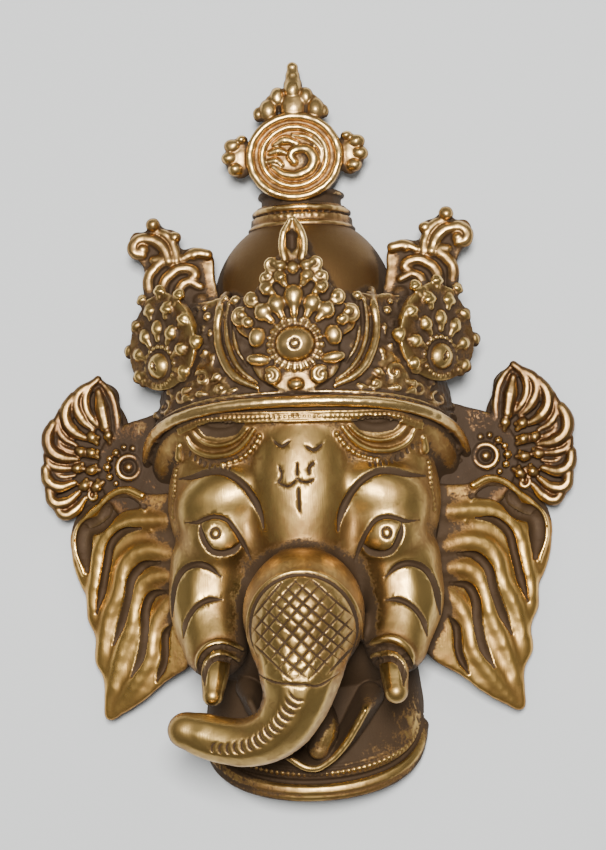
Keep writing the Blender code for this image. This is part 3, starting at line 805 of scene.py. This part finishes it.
half = [(0, 7.4), (8.6, 10.2), (12.4, 15), (12.4, 22), (16.6, 26), (17, 30), (13.4, 33), (10.6, 37.6),
        (8.2, 41), (7.6, 44.5), (4.2, 46.6), (3.4, 51)]
wax.plate(half + [(0, 57)] + [(-x, y) for x, y in half[:0:-1]], LEAF_PLATE, leaf_height)
# the boss, with a frilled ring of small grains
wax.ball((0, 20.8, leaf_top(0, 20) + 0.2), (5.6, 5.2, 3.6), facets=4)
for reach, grain, pitch in ((6.3, 0.9, 1.6), (7.5, 0.8, 1.9)):
    ring = arc((0, 20.8), (reach, reach * 0.94), 0, 356, 30)
    wax.beads([(x, y, leaf_top(x, y) + 0.2) for x, y in ring], grain, pitch)
wax.petal((0, 29.2), (-0.2, 37.4), 2.3, 2.0, raised)
wax.ball((-0.1, 34.6, raised(0, 35)), (2.9, 3.4, 2.2))
for side in (-1, 1):
    for foot, tip, wide in (((3.5, 28.8), (5.9, 34.6), 2.3), ((6.6, 27.8), (10.2, 32), 2.5),
                            ((5.8, 35.4), (8.6, 37.6), 1.8), ((2.6, 38), (4.2, 41), 1.7)):
        wax.petal((side * foot[0], foot[1]), (side * tip[0], tip[1]), wide, 1.9, raised)
    for x, y, wide, long, lean in ((10.7, 23.2, 2.5, 3.0, 10), (10.4, 16.8, 3.6, 1.8, 8),
                                   (3.6, 43.2, 1.9, 1.7, 0), (13.2, 27.6, 2.0, 1.7, 40)):
        wax.ball((side * x, y, raised(x, y)), (wide, long, 1.8), (0, 0, side * lean))
    for x, y, size, start, sweep in ((5.9, 43.9, 2.2, 200, 330), (7.6, 40, 2.2, 150, 330),
                                     (15.2, 29.2, 2.5, 100, -360), (12, 34.4, 2.0, 220, 330),
                                     (6.9, 11.8, 2.4, 60, 320)):
        start = start if side > 0 else 180 - start
        wax.curl((side * x, y), size, start, side * sweep, 1.05, raised)
    wax.rope([(side * x, y, leaf_top(x, y)) for x, y in ((2.4, 45), (3.1, 49), (2.4, 53), (0.5, 57))], 1.15,
             end=0.5)
wax.ball((-0.2, 42.5, leaf_top(0, 42)), (2.0, 2.0, 1.7))
wax.ball((0, 9.4, leaf_top(0, 9)), (2.1, 1.6, 1.5))

for side in (-1, 1):
    # two ridges like a pair of horns hold the leaf, each with a hooked top
    ridges = (([(26.6, 33.6), (25.4, 36.6), (22.8, 37.8), (21.9, 33), (22.6, 26), (21.2, 18.8), (17.4, 12.6),
                (10.8, 8.8)], 1.3, 1.0),
              ([(19.4, 34.4), (20, 27), (19, 20.6), (15.8, 14.4), (11, 10.4)], 0.75, 0.7),
              ([(17.2, 33.4), (17.8, 26.6), (17, 21), (14, 15.6)], 0.55, 0.4))
    for ridge, thick, lift in ridges:
        points = crown_ground.laid(mirrored(ridge, side), lift)
        wax.rope(points, thick, start=0.7, end=0.5)
    for x, y, radius in ((17.4, 35, 1.6), (20.4, 36, 1.0), (25.6, 31, 1.4)):
        wax.ball(crown_ground.laid([(side * x, y)], 0.5)[0], radius)
    # tendrils, buds and small leaves fill the rest of the band
    tendrils = ((27.4, 12.8, 2.5, 30, 330), (33.4, 8.4, 2.4, 200, 330), (27, 20.6, 2, 120, -300),
                (39.4, 5.6, 2.4, 90, 330), (27.4, 27.2, 2.2, 240, 320), (43.2, 0.8, 2.2, 0, -320),
                (45, -6.4, 2.2, 120, 320), (45.6, -13, 2, 60, 320), (29.6, 32.6, 2.0, 60, 300),
                (22, 9.4, 1.7, 200, 300))
    for x, y, size, start, sweep in tendrils:
        start = start if side > 0 else 180 - start
        wax.curl((side * x, y), size, start, side * sweep, 0.7, crown_ground.height)
    buds = ((30.6, 15.2, 60, 1.2), (30.8, 10.4, -30, 1.3), (24.4, 12, 150, 1.1), (30.4, 6.8, 20, 1.2),
            (36.8, 8.6, 70, 1.2), (36.4, 4.4, -20, 1.2), (30, 19, 100, 1.2), (29.8, 24, 80, 1.2),
            (24.8, 24, 95, 1), (41.4, 3.2, 40, 1.1), (40.6, -1.6, -50, 1.1), (43.6, -10, 60, 1.1),
            (24.4, 17, 110, 1), (26, 8.2, 0, 1), (19.6, 8, 160, 0.9), (31.8, 29, 90, 1.2))
    for x, y, lean, wide in buds:
        tip = Vector((math.cos(math.radians(lean)), math.sin(math.radians(lean)))) * 3
        wax.petal((side * x, y), (side * (x + tip.x), y + tip.y), wide, 1.0, crown_ground.height)
cuts = [(arc((0, 20.6), (1.3, 1.4), 0, 360, 14), 0.8, 0.6, 40),
        ([(-0.4, 47.4), (-0.3, 50), (-0.2, 53.6)], 3.2, 1.7, 38)]
mesh = engraved(uneven(fused(wax.mesh(), 0.34, soften=1), 0.1, 1.9), cuts)
crown = cast("crown_band", mesh, 180000, cuts)
crown.data.materials.append(brass("crown_brass", dirt_reach=1.7, rub=0.5, bright=(0.86, 0.58, 0.23, 1),
                                  dull=(0.2, 0.11, 0.045, 1)))

# The two leaves at the crown's corners.
# Each is a turned-out egg-shaped leaf with a boss and rings of petals round it, pressed from its own
# flat wax and then set on the band, leaning outwards.
SIDE_LEAF = (39, 25, 26)
SIDE_LEAN = 36


def side_leaf(side):
    """The wax of one leaf, made flat and then leant outwards at its corner."""
    lean = math.radians(SIDE_LEAN)

    def flat(x, y):
        return 0.0

    def top(x, y):
        return LEAF_PLATE / 2 + 0.3 - 0.01 * (x * x + 0.4 * y * y)

    wax = Wax()
    outline = []
    for step in range(16):
        angle = 2 * math.pi * step / 16
        reach = (10.4 - 1.6 * math.sin(angle)) / math.cos(lean)
        outline.append((reach * math.cos(angle), 14.2 * math.sin(angle)))
    wax.plate(outline, LEAF_PLATE, flat)
    boss = Vector((0.6, -7.2))
    wax.ball((*boss, top(*boss)), (4, 4, 2.8))
    wax.beads([(*point, top(*point)) for point in arc(boss, (5.5, 5.6), 0, 352, 30)], 0.85, 1.75)
    # a fan of large petals above the boss, then a row of curled ones, then the tip's cluster
    squash = Vector((0.9, 1.08))
    for inner, outer, count, wide, start, end, thick in ((7.2, 11.8, 7, 2.0, -12, 192, 1.9),
                                                         (13.4, 16.8, 6, 2.1, 20, 160, 1.9),
                                                         (18.6, 21.2, 3, 1.8, 66, 114, 1.6)):
        for step in range(count):
            angle = math.radians(start + (end - start) * step / (count - 1))
            out = Vector((math.cos(angle), math.sin(angle)))
            wax.petal(boss + out * inner * squash, boss + out * outer * squash, wide, thick, top)
    for x, y, size, start, sweep in ((-8.4, 4.4, 2.3, 30, 320), (8.6, 4.4, 2.3, 150, -320),
                                     (-4.4, 10.6, 1.7, 40, 320), (4.6, 10.6, 1.7, 140, -320),
                                     (-7.6, -10.8, 2, 60, 300), (7.8, -10.8, 2, 120, -300),
                                     (-10.4, -3, 1.7, 90, 300), (10.6, -3, 1.7, 90, -300)):
        wax.curl((x, y), size, start, sweep, 0.9, top)
    mesh = uneven(fused(wax.mesh(), 0.3, soften=1), 0.1, 1.9)
    mesh = engraved(mesh, [([boss + Vector((-0.5, 0)), boss + Vector((0.5, -0.4))], 3.4, 1.6, 0)])
    if side < 0:
        mesh.transform(Matrix.Diagonal((-1, 1, 1, 1)))
        mesh.flip_normals()
    place = Matrix.Translation(Vector((side * SIDE_LEAF[0], *SIDE_LEAF[1:])) * UNIT)
    mesh.transform(place @ Matrix.Rotation(side * lean, 4, "Y"))
    return mesh


for side, name in ((-1, "leaf_left"), (1, "leaf_right")):
    leaf = cast(name, side_leaf(side), 60000)
    leaf.data.materials.append(brass(name + "_brass", dirt_reach=1.7, rub=0.45, bright=(0.82, 0.56, 0.2, 1),
                                    dull=(0.2, 0.11, 0.045, 1)))

# The ribbon ends behind the leaves.
# On each side a ribbon end of thick scrolls stands up behind the leaf, flat against the wall, with
# a knob on the top and deep dark gaps between the scrolls.
KNOB_HEIGHT = 13.2


def ribbon_height(x, y):
    """Z of the middle of the ribbon's plate."""
    return 12.5 - 0.1 * (y - 45)


def ribbon(side):
    """The wax of one ribbon end: a plate with scrolls and knobs laid on it."""
    wax = Wax()
    outline = mirrored([(44, 34), (46, 42), (46.6, 49), (50.6, 54.6), (49.6, 59.4), (45.8, 60.2),
                        (43.2, 63.6), (40.6, 61), (36.2, 59.2), (35.4, 54.4), (31, 54.6),
                        (26.8, 53), (25.4, 45), (25.4, 33)], side)
    wax.plate(outline, LEAF_PLATE, ribbon_height)
    scrolls = (([(38.8, 50.5), (40.8, 55), (45, 57.3), (48.6, 56.6), (49, 53.6), (46.6, 52.8)], 1.6),
               ([(44.6, 40.5), (44.8, 45.5), (42.7, 48.6), (41, 50.6), (43.4, 51)], 1.5),
               ([(40.4, 38), (40.3, 43.7), (37.7, 46.8), (34.3, 48), (31, 46), (32.4, 44.6)], 1.5),
               ([(36, 36), (36.1, 41), (33.2, 43.8), (29.6, 42.4)], 1.4),
               ([(36.6, 50.4), (37.2, 54.6), (40, 58.6), (43, 59.6)], 1.3),
               ([(27.4, 52), (31, 52.6), (34.6, 51)], 1.4))
    for scroll, thick in scrolls:
        points = [(side * x, y, ribbon_height(x, y) + 1.7) for x, y in scroll]
        wax.rope(points, thick * 1.25, end=0.8)
    knobs = ((43.4, 61.6, 2.2), (37, 57.6, 1.9), (31.4, 52.2, 2), (29.4, 38, 3), (46.6, 54.2, 2))
    for x, y, radius in knobs:
        wax.ball((side * x, y, KNOB_HEIGHT), radius)
    return uneven(fused(wax.mesh(), 0.34, soften=1), 0.16, 2.2)


for side, name in ((-1, "ribbon_left"), (1, "ribbon_right")):
    end = cast(name, ribbon(side), 40000)
    end.data.materials.append(brass(name + "_brass", dirt_reach=1.4, rub=0.38, bright=(0.86, 0.56, 0.22, 1),
                                    dull=(0.24, 0.13, 0.05, 1)))

# The dome, its collar and the disc with the finial.
# A smooth brushed dome stands behind the crown. A beaded collar carries a flat disc with a rolled
# rim and a winding comma-shaped scroll, and a small flame of wax balls tops it.
DOME_CENTRE = (0, 38, 0)
DOME_RADIUS = 27
DISC_CENTRE = (-0.8, 80.4)
DISC_HEIGHT = 11.5
DISC_PLATE = 4.5


def dome_body(wax, inset):
    """The dome, drawn in by the inset so that it also makes the hollow."""
    wax.ball(DOME_CENTRE, DOME_RADIUS - inset, facets=5)


wax = Wax()
dome_body(wax, 0)
dome = cast("dome", fused(wax.mesh(), 0.55, soften=2), 40000)
dome.data.materials.append(brass("dome_brass", bright=(0.25, 0.155, 0.058, 1), rub=0.5, dirt_reach=0.75,
                                 dull=(0.17, 0.096, 0.038, 1), gloss=0.45, brushing=1.0))


def hoop(wide, y, start, end):
    """Points round the front of the collar, in degrees."""
    angles = [math.radians(angle) for angle in range(start, end, 12)]
    return [(wide * math.cos(angle), y, wide * math.sin(angle)) for angle in angles]


wax = Wax()
wax.drum(59.4, 63.6, 15.6, 15.2, 0.96)
wax.drum(62, 67, 14, 13.6, 0.98)
wax.drum(66, 71.8, 12.2, 11.8, 1.02)
for y, wide, radius in ((60.2, 15.3, 1.0), (65.2, 14, 1.0), (70.6, 12.3, 0.9)):
    wax.rope(hoop(wide, y, 4, 177), radius)
wax.beads(hoop(13.9, 62.7, 6, 175), 1.15, 2.1)


def disc_flat(x, y):
    """Z of the middle of the disc."""
    return DISC_HEIGHT


def disc_top(x, y):
    """Z of the disc's face."""
    return DISC_HEIGHT + DISC_PLATE / 2


wax.plate(arc(DISC_CENTRE, (14.4, 13.2), 0, 345, 24), DISC_PLATE, disc_flat)
for radius, thick in ((13.2, 1.3), (9.6, 1.0)):
    ring = [(x, y, disc_top(x, y)) for x, y in arc(DISC_CENTRE, (radius, radius * 0.92), 0, 345, 24)]
    wax.rope(ring, thick, closed=True)
# the winding scroll, with smaller strokes round it
scroll = [(-7.2, 77.4), (-3.6, 75), (1.4, 75), (4.6, 77.6), (4.4, 81), (1.2, 82.6), (-1.8, 80.8),
          (-0.8, 78.6)]
wax.rope([(x, y, disc_top(x, y) + 0.1) for x, y in scroll], [0.8, 1.3, 1.6, 1.8, 1.7, 1.4, 1.2, 1.1])
strokes = (([(7, 78.4), (7, 82.4), (3.4, 85.8), (-1, 86.8)], 0.9),
           ([(0.2, 84.2), (-3.6, 85.4), (-6.4, 84.2)], 1.5),
           ([(-8, 81.6), (-5.6, 82.2), (-3.6, 81.6)], 1.3),
           ([(-8.4, 79), (-6.2, 79.2), (-4.6, 77.8)], 1.2),
           ([(4.4, 81), (5.2, 83.6)], 1.0))
for points, thick in strokes:
    wax.rope([(x, y, disc_top(x, y)) for x, y in points], thick, start=0.6, end=0.6)
# a cluster of balls on each side of the disc, and the flame on its top
for side in (-1, 1):
    x = DISC_CENTRE[0] + side * 16.4
    wax.ball((x, 81, DISC_HEIGHT), (4.4, 6.2, 2.4))
    for dx, y, size in ((2, 84.4, 2.6), (3, 80.8, 2.5), (1.2, 77.4, 2.4), (-0.8, 86.2, 1.8)):
        wax.ball((x + side * dx, y, DISC_HEIGHT + 1), (size, size * 0.85, 2.2))
for x, y, radius in ((0, 95.4, 4.4), (-7.4, 94.6, 3.1), (6.6, 94.6, 3), (-10.4, 93.8, 1.8), (9, 94, 1.7),
                     (-4.6, 98.6, 2.6), (3.8, 98.4, 2.5), (0, 100.6, 3), (-6.8, 97.4, 1.7), (6, 97.2, 1.6)):
    wax.ball((DISC_CENTRE[0] + x, y, DISC_HEIGHT + 0.6), (radius * 0.95, radius * 1.25, min(radius, 3)))
wax.rope([(DISC_CENTRE[0], y, DISC_HEIGHT) for y in (99, 103.5, 107.9)], [3, 2.5, 1.5])
for y, radius in ((102.2, 2.9), (105, 2.2), (107.8, 1.7)):
    wax.ball((DISC_CENTRE[0], y, DISC_HEIGHT), radius)
disc = cast("collar_and_disc", uneven(fused(wax.mesh(), 0.3, soften=1), 0.14, 2), 100000)
disc.data.materials.append(brass("disc_brass", bright=(0.86, 0.58, 0.23, 1), dull=(0.3, 0.165, 0.065, 1),
                                 dirt_reach=1.15, rub=0.5))

# The ears.
# Thin plates that slope back from the cheeks to the wall, with four long flutes that end in a
# stepped outer edge, deep dark tears between them, and a rolled fold along the top.
EAR_PLATE = 3.4


def ear_height(x, y):
    """Z of the middle of the ear's plate, which slopes back to the wall."""
    return 4.4 + 0.27 * max(70 - abs(x), 0)


# the edge of the ear; the crests of its flutes, the tears between them and the folds on its top, each
# with its thickness or width
EAR_OUTLINE = [(30, -20), (47, -17.6), (53.5, -15.4), (59.5, -17), (66, -20.4), (70.4, -25.4), (71.2, -35.5),
               (68.4, -45), (66.6, -48.2), (66.8, -54), (64.4, -59.6), (64.6, -67), (62, -72), (61.8, -78),
               (61, -84.2), (55.8, -82.4), (49.4, -78.6), (43.9, -74.2), (33, -66)]
EAR_FLUTES = (([(40, -26), (56, -27.5), (61.2, -33), (63, -41.5), (64.4, -49), (64.2, -54)], 2.4),
              ([(36, -37), (49.4, -35.1), (54, -39), (56, -46.5), (59.6, -54), (62, -65)], 2.6),
              ([(35, -42.6), (47.8, -43.7), (50.8, -49), (52.2, -56), (55.6, -64), (59, -75)], 2.6),
              ([(38, -48.4), (42.6, -52.7), (45.6, -58), (47, -66), (52, -74), (57, -80.6)], 2.6))
EAR_TEARS = (([(49.1, -28.2), (54.4, -29), (58.4, -32.6), (60, -38.8), (61.4, -45.4), (63.4, -52.6)], 3.0),
             ([(43.6, -38.4), (48.4, -39), (52, -42.6), (53.6, -48.8), (56, -56.4), (58.4, -62)], 3.2),
             ([(41.2, -46.8), (46, -47.8), (48.2, -52.1), (48.6, -58), (50, -65.5), (53, -71.4)], 3.4),
             ([(40.4, -56.4), (42.4, -60), (42.9, -67), (45.4, -73)], 2.8))
EAR_HOLLOW = [(48, -21.9), (54.4, -20.4), (58.5, -22.6), (61.4, -26), (66, -28), (67, -33), (66, -40)]
EAR_FOLDS = (([(48.6, -18.6), (53.5, -16.6), (58.1, -18), (61.6, -21), (65.9, -24.3), (68.8, -28.3),
               (69, -34), (67.2, -41)], 1.25),
             ([(46, -29), (47.6, -23.6), (50.8, -20), (54.5, -18.8), (57.7, -20.4), (59.4, -23.4),
               (62, -25.6), (66, -27.2)], 0.75))


def ear(side):
    """The wax of one ear and the tears cut into it."""
    wax = Wax()
    wax.plate(mirrored(EAR_OUTLINE, side), EAR_PLATE, ear_height, grid=0.6)
    for crest, thick in EAR_FLUTES:
        points = [(side * x, y, ear_height(x, y) + 0.4) for x, y in crest]
        wax.rope(points, [thick * 1.25] * 3 + [thick * 1.2, thick * 1.1, thick * 0.8])
    wax = Wax(uneven(fused(wax.mesh(), 0.7, soften=18), 0.12, 12))
    for fold, thick in EAR_FOLDS:
        points = [(side * x, y, ear_height(x, y) + 1.7) for x, y in fold]
        wax.rope(points, thick, end=0.6)
    cuts = [(mirrored(tear, side), width * 0.85, 2.4, 3) for tear, width in EAR_TEARS]
    cuts.append((mirrored(EAR_HOLLOW, side), 5.4, 2.1, 3))
    return engraved(uneven(fused(wax.mesh(), 0.36, soften=1), 0.06, 2.4), cuts), cuts


for side, name in ((-1, "ear_left"), (1, "ear_right")):
    mesh, cuts = ear(side)
    plate = cast(name, mesh, 60000, cuts)
    plate.data.materials.append(brass(name + "_brass", rub=0.55, dirt_reach=1.2,
                                      bright=(0.86, 0.54, 0.16, 1), dull=(0.4, 0.21, 0.065, 1)))

# The feather fans.
# Above each ear a fan of curled feathers spreads from a small ringed boss. Each feather is two or
# three strands of wax that hook over at the tip, and beads and small petals sit round the boss.
FAN_BOSS = (52.6, -10)
FAN_HEIGHT = 9.0
# the angle and reach of each feather, then its strands with their thickness
FAN_LOBES = ((69, 27.6), (46, 28.4), (23, 27.4), (-3, 26), (-27, 25.6))
FAN_STRANDS = (([(56, 0.5), (56.2, 6), (57.8, 12), (61.2, 16.4)], 1.3),
               ([(59.4, 2.4), (60.4, 8), (61.4, 13)], 2.1),
               ([(61.6, 16.6), (64.6, 13.6), (65.4, 9), (63.4, 4.6), (60.6, 2)], 1.3),
               ([(64.4, 14.6), (67, 12.8), (68.2, 9.4), (66.6, 5.2), (63.2, 1.6)], 1.5),
               ([(68.8, 11.6), (71, 8.2), (71.2, 4.6), (69.2, 1.4), (65.4, -0.8)], 1.7),
               ([(72.6, 7.4), (73.8, 3.4), (72.2, -0.4), (68.4, -2.8)], 1.3),
               ([(75, 3.6), (76.6, 0), (76, -3.8), (73, -6.2), (68.2, -7)], 1.8),
               ([(73.4, 0.6), (73.2, -2.6), (70.8, -4.4), (67, -4.8)], 1.0),
               ([(77.2, -5.6), (76.4, -8.2), (73.4, -9.4), (68.2, -9.6)], 1.3),
               ([(77.6, -9.6), (76.8, -13.2), (74.2, -15), (69, -14)], 1.7),
               ([(75.2, -10.6), (73, -12), (69, -11.8)], 0.9),
               ([(76.6, -15.6), (75.4, -19.4), (72, -19.8), (68, -17)], 1.6),
               ([(74.6, -21), (72.4, -23.4), (69.2, -22.2), (66, -18.6)], 1.4))
# the place and lean of each small petal, then the angle and size of each grain round the boss
FAN_LEAVES = ((58.4, -1.4, 80), (62.8, -1.6, 50), (66, -5.4, 30), (62.8, -6, 35), (66.8, -9.8, 5),
              (62.6, -10.4, 0), (65, -14.4, -25), (61.4, -14.6, -35))
FAN_GRAINS = ((-50, 0.9), (-24, 1.2), (2, 1.4), (26, 1.1), (50, 1.3), (78, 1.0), (104, 1.2), (128, 0.9))


def fan(side):
    """The wax of one fan."""
    boss = Vector(FAN_BOSS)
    wax = Wax()

    def polar(reach, angle, z):
        """A point by its reach and angle from the boss."""
        lean = math.radians(angle)
        return (side * (boss.x + reach * math.cos(lean)), boss.y + reach * math.sin(lean), z)

    def flat(x, y):
        return FAN_HEIGHT

    # each feather's root, as two flat eggs
    for angle, reach in FAN_LOBES:
        wax.ball(polar(reach - 5.2, angle, 6.2), (5.2, 5, 1.7))
        wax.ball(polar(reach * 0.52, angle, 6.4), (9.2, 4.6, 1.8), (0, 0, side * angle))
    for strand, thick in FAN_STRANDS:
        points = [(side * x, y, 8.6 + 0.03 * thick * (x - 60)) for x, y in strand]
        wax.rope(points, thick * 1.22, start=0.8, end=0.5)
    for x, y, lean in FAN_LEAVES:
        tip = Vector((math.cos(math.radians(lean)), math.sin(math.radians(lean)))) * 2.6
        foot = (side * (x - tip.x * 0.4), y - tip.y * 0.4)
        wax.petal(foot, (side * (x + tip.x), y + tip.y), 1.5, 1.5, flat)
        wax.ball((side * (x - tip.y * 0.5), y + tip.x * 0.5, FAN_HEIGHT), 0.9, facets=2)
    wax.curl((side * 63.4, -18), 2, 60, side * -300, 0.7, flat)
    wax.plate(mirrored([(36, -24), (36, 4), (50, 4), (58, 0), (62, -8), (60, -18), (54, -25)], side),
              EAR_PLATE, lambda x, y: 7 + 0.2 * max(60 - abs(x), 0))
    for angle, size in FAN_GRAINS:
        wax.ball(polar(5.9 + 0.5 * math.sin(angle), angle, 10.2), size, facets=2)
    wax.ball(polar(0, 0, 9.8), (1.9, 1.9, 2))
    wax.rope([polar(3.3, angle, 10.6) for angle in range(0, 360, 30)], 0.95, closed=True)
    return uneven(fused(wax.mesh(), 0.3, soften=1), 0.1, 2)


for side, name in ((-1, "fan_left"), (1, "fan_right")):
    plume = cast(name, fan(side), 70000)
    plume.data.materials.append(brass(name + "_brass", rub=0.2, dirt_reach=1.6, bright=(0.76, 0.49, 0.17, 1),
                                      dull=(0.17, 0.09, 0.04, 1)))

# The clay core, the hanging web and the flat back.
# The core leaves the casting hollow, with an even wall, and open behind. A flat web across the back
# of the dome has the hole that the mask hangs by, and the rim is filed flat to lie on the wall.
WALL = 3.0
HANG_WEB, HANG_HOLE, HANG_MARGIN = 3, 6, 3


def cut(mesh, cutter):
    """The mesh without what the cutter holds."""
    tool = bpy.data.objects.new("cutter", cutter)
    result = modified(mesh, "BOOLEAN", operation="DIFFERENCE", object=tool, solver="MANIFOLD")
    if len(result.vertices) in (0, len(mesh.vertices)):
        result = modified(mesh, "BOOLEAN", operation="DIFFERENCE", object=tool, solver="EXACT")
    bpy.data.objects.remove(tool, do_unlink=True)
    return result


wax = Wax()
face_body(wax, WALL)
crown_body(wax, WALL)
dome_body(wax, WALL)
neck_body(wax, WALL, 8)
core = fused(wax.mesh(), 1.0, soften=3)
# a large block behind the wall's plane, for the flat back
BLOCK = 0.5
shape = bmesh.new()
bmesh.ops.create_cube(shape, size=BLOCK, matrix=Matrix.Translation((0, 0, -BLOCK / 2)))
block = bpy.data.meshes.new("block")
shape.to_mesh(block)
shape.free()
for item, facets, cuts in castings:
    mesh = cut(cut(item.data, block), core)
    count = sum(len(face.vertices) - 2 for face in mesh.polygons)
    if count > facets:
        mesh = modified(mesh, "DECIMATE", ratio=facets / count)
    item.data = mesh
    mesh.shade_smooth()
    mesh.set_sharp_from_angle(angle=math.radians(70))

# the web is a disc inside the dome, cut off below the hole, with the hole drilled through it
shape = bmesh.new()
radius = (DOME_RADIUS - WALL / 2) * UNIT
hang_y = DOME_CENTRE[1] + DOME_RADIUS - WALL - HANG_MARGIN - HANG_HOLE / 2
bmesh.ops.create_cone(shape, cap_ends=True, segments=96, radius1=radius, radius2=radius,
                      depth=HANG_WEB * UNIT,
                      matrix=Matrix.Translation(Vector((0, DOME_CENTRE[1], HANG_WEB / 2)) * UNIT))
edge = Vector((0, hang_y - HANG_HOLE / 2 - HANG_MARGIN, 0)) * UNIT
cut_off = bmesh.ops.bisect_plane(shape, geom=shape.verts[:] + shape.edges[:] + shape.faces[:],
                                 plane_co=edge, plane_no=(0, -1, 0), clear_outer=True)
rim_edges = [piece for piece in cut_off["geom_cut"] if isinstance(piece, bmesh.types.BMEdge)]
bmesh.ops.holes_fill(shape, edges=rim_edges)
web_mesh = bpy.data.meshes.new("web")
shape.to_mesh(web_mesh)
shape.free()
shape = bmesh.new()
bmesh.ops.create_cone(shape, cap_ends=True, segments=48, radius1=HANG_HOLE / 2 * UNIT,
                      radius2=HANG_HOLE / 2 * UNIT, depth=4 * HANG_WEB * UNIT,
                      matrix=Matrix.Translation(Vector((0, hang_y, 0)) * UNIT))
drill = bpy.data.meshes.new("drill")
shape.to_mesh(drill)
shape.free()
web = cast("hanging_web", modified(cut(web_mesh, drill), "BEVEL", width=0.3 * UNIT, segments=2), 5000)
web.data.materials.append(brass("web_brass", bright=(0.3, 0.2, 0.09, 1), rub=0.2, gloss=0.5))

# The dirt, the painted shade and the rubbing.
# Years of handling rub the high places bright, while old polish and soot stay in the deep ones, and shade
# is painted into the shut-in places too. Each point of the casting stores how shut in it is and how far it
# stands out, from a grid of the heights.
RELIEF_CELL = 0.4
GRID_LOW = np.array([-98.0, -128.0])
GRID_COUNT = (490, 640)
SKY_REACHES = (1, 2, 3.2, 4.8, 7, 10, 14)
OFF_SKIN = 0.7           # how far off the skin the sky is looked at

relief = np.full(GRID_COUNT, -1.0)
for item, facets, cuts in castings:
    mesh = item.data
    spots = vertex_values(mesh, "co", 3) / UNIT
    centres = np.empty(len(mesh.polygons) * 3, np.float32)
    mesh.polygons.foreach_get("center", centres)
    spots = np.vstack((spots, centres.reshape(-1, 3) / UNIT))
    cells = ((spots[:, :2] - GRID_LOW) / RELIEF_CELL).astype(int)
    np.maximum.at(relief, (cells[:, 0], cells[:, 1]), spots[:, 2])
# cells that no point fell in take the height of their neighbours
for _ in range(4):
    grown = relief.copy()
    for dx in (-1, 0, 1):
        for dy in (-1, 0, 1):
            grown = np.maximum(grown, np.roll(relief, (dx, dy), (0, 1)))
    relief = np.where(relief < -0.5, grown, relief)
relief = np.maximum(relief, 0)


def relief_at(spots, angle, reach):
    """Height of the relief a reach away from each spot."""
    there = spots[:, :2] + np.array([math.cos(angle), math.sin(angle)]) * reach
    cells = ((there - GRID_LOW) / RELIEF_CELL).astype(int)
    return relief[cells[:, 0], cells[:, 1]]


def shut_in(spots, reaches):
    """Share of the sky that the relief hides from each spot, looking as far as the reaches."""
    hidden = np.zeros(len(spots))
    for direction in range(16):
        angle = 2 * math.pi * direction / 16
        steep = np.zeros(len(spots))
        for reach in reaches:
            rise = relief_at(spots, angle, reach) - spots[:, 2]
            steep = np.maximum(steep, np.arctan2(np.maximum(rise, 0), reach))
        hidden += np.sin(steep) ** 2 / 16
    return hidden


def stand_out(spots, reach, most):
    """How far each spot stands above the mean of the relief round it."""
    mean = np.zeros(len(spots))
    for direction in range(12):
        around = relief_at(spots, 2 * math.pi * direction / 12, reach)
        mean += np.clip(around, spots[:, 2] - most, spots[:, 2] + most) / 12
    return spots[:, 2] - mean


def eased(values, start, end):
    """0 up to the start, 1 from the end on, and an even slope between them."""
    return np.clip((values - start) / (end - start), 0, 1)


for item, facets, cuts in castings:
    mesh = item.data
    spots = vertex_values(mesh, "co", 3) / UNIT
    outside = spots + vertex_values(mesh, "normal", 3) * OFF_SKIN
    ridge = 0.5 * stand_out(spots, 0.9, 1.5) / 0.9 + 0.5 * stand_out(spots, 2, 2) / 2
    low = 0.4 * stand_out(outside, 1.4, 2) + 0.6 * stand_out(outside, 3, 2.5) - 0.6
    from_middle, up, off_wall = abs(spots[:, 0]), spots[:, 1], spots[:, 2]
    even = eased(ridge, 0.25, 0)
    # painted shade on the mouth and the neck, below the trunk and near the wall
    shade_below_trunk = eased(up, -76, -84) * eased(off_wall, 30, 22) * even
    # the low flats beside the head, near the wall, are made darker too
    reach = np.where(up > -22, 62, 49)
    beside = eased(from_middle, reach, reach - 8) * eased(off_wall, 17, 13) * even
    beside *= eased(up, -74, -58) * eased(up, 24, 16)
    # hollow and crevice darken the colour: soot in the deep places and painted shade where the relief hides
    # the sky; below the trunk it is painted shade, and the low side flats are simply made darker
    hollow = shut_in(outside, SKY_REACHES) + np.maximum(0.42 * shade_below_trunk, 0.4 * beside)
    values = (("hollow", hollow), ("crevice", np.clip(-low, 0, 2)),
              ("ridge", np.clip(ridge, -1, 1)), ("cut", np.clip(cut_depth(spots, cuts) * 2.5, 0, 1)))
    for name, value in values:
        mesh.attributes.new(name, "FLOAT", "POINT").data.foreach_set("value", value.astype(np.float32))

size = {"cad": [list(corner) for corner in cad_box], "visual": [list(corner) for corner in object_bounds()]}
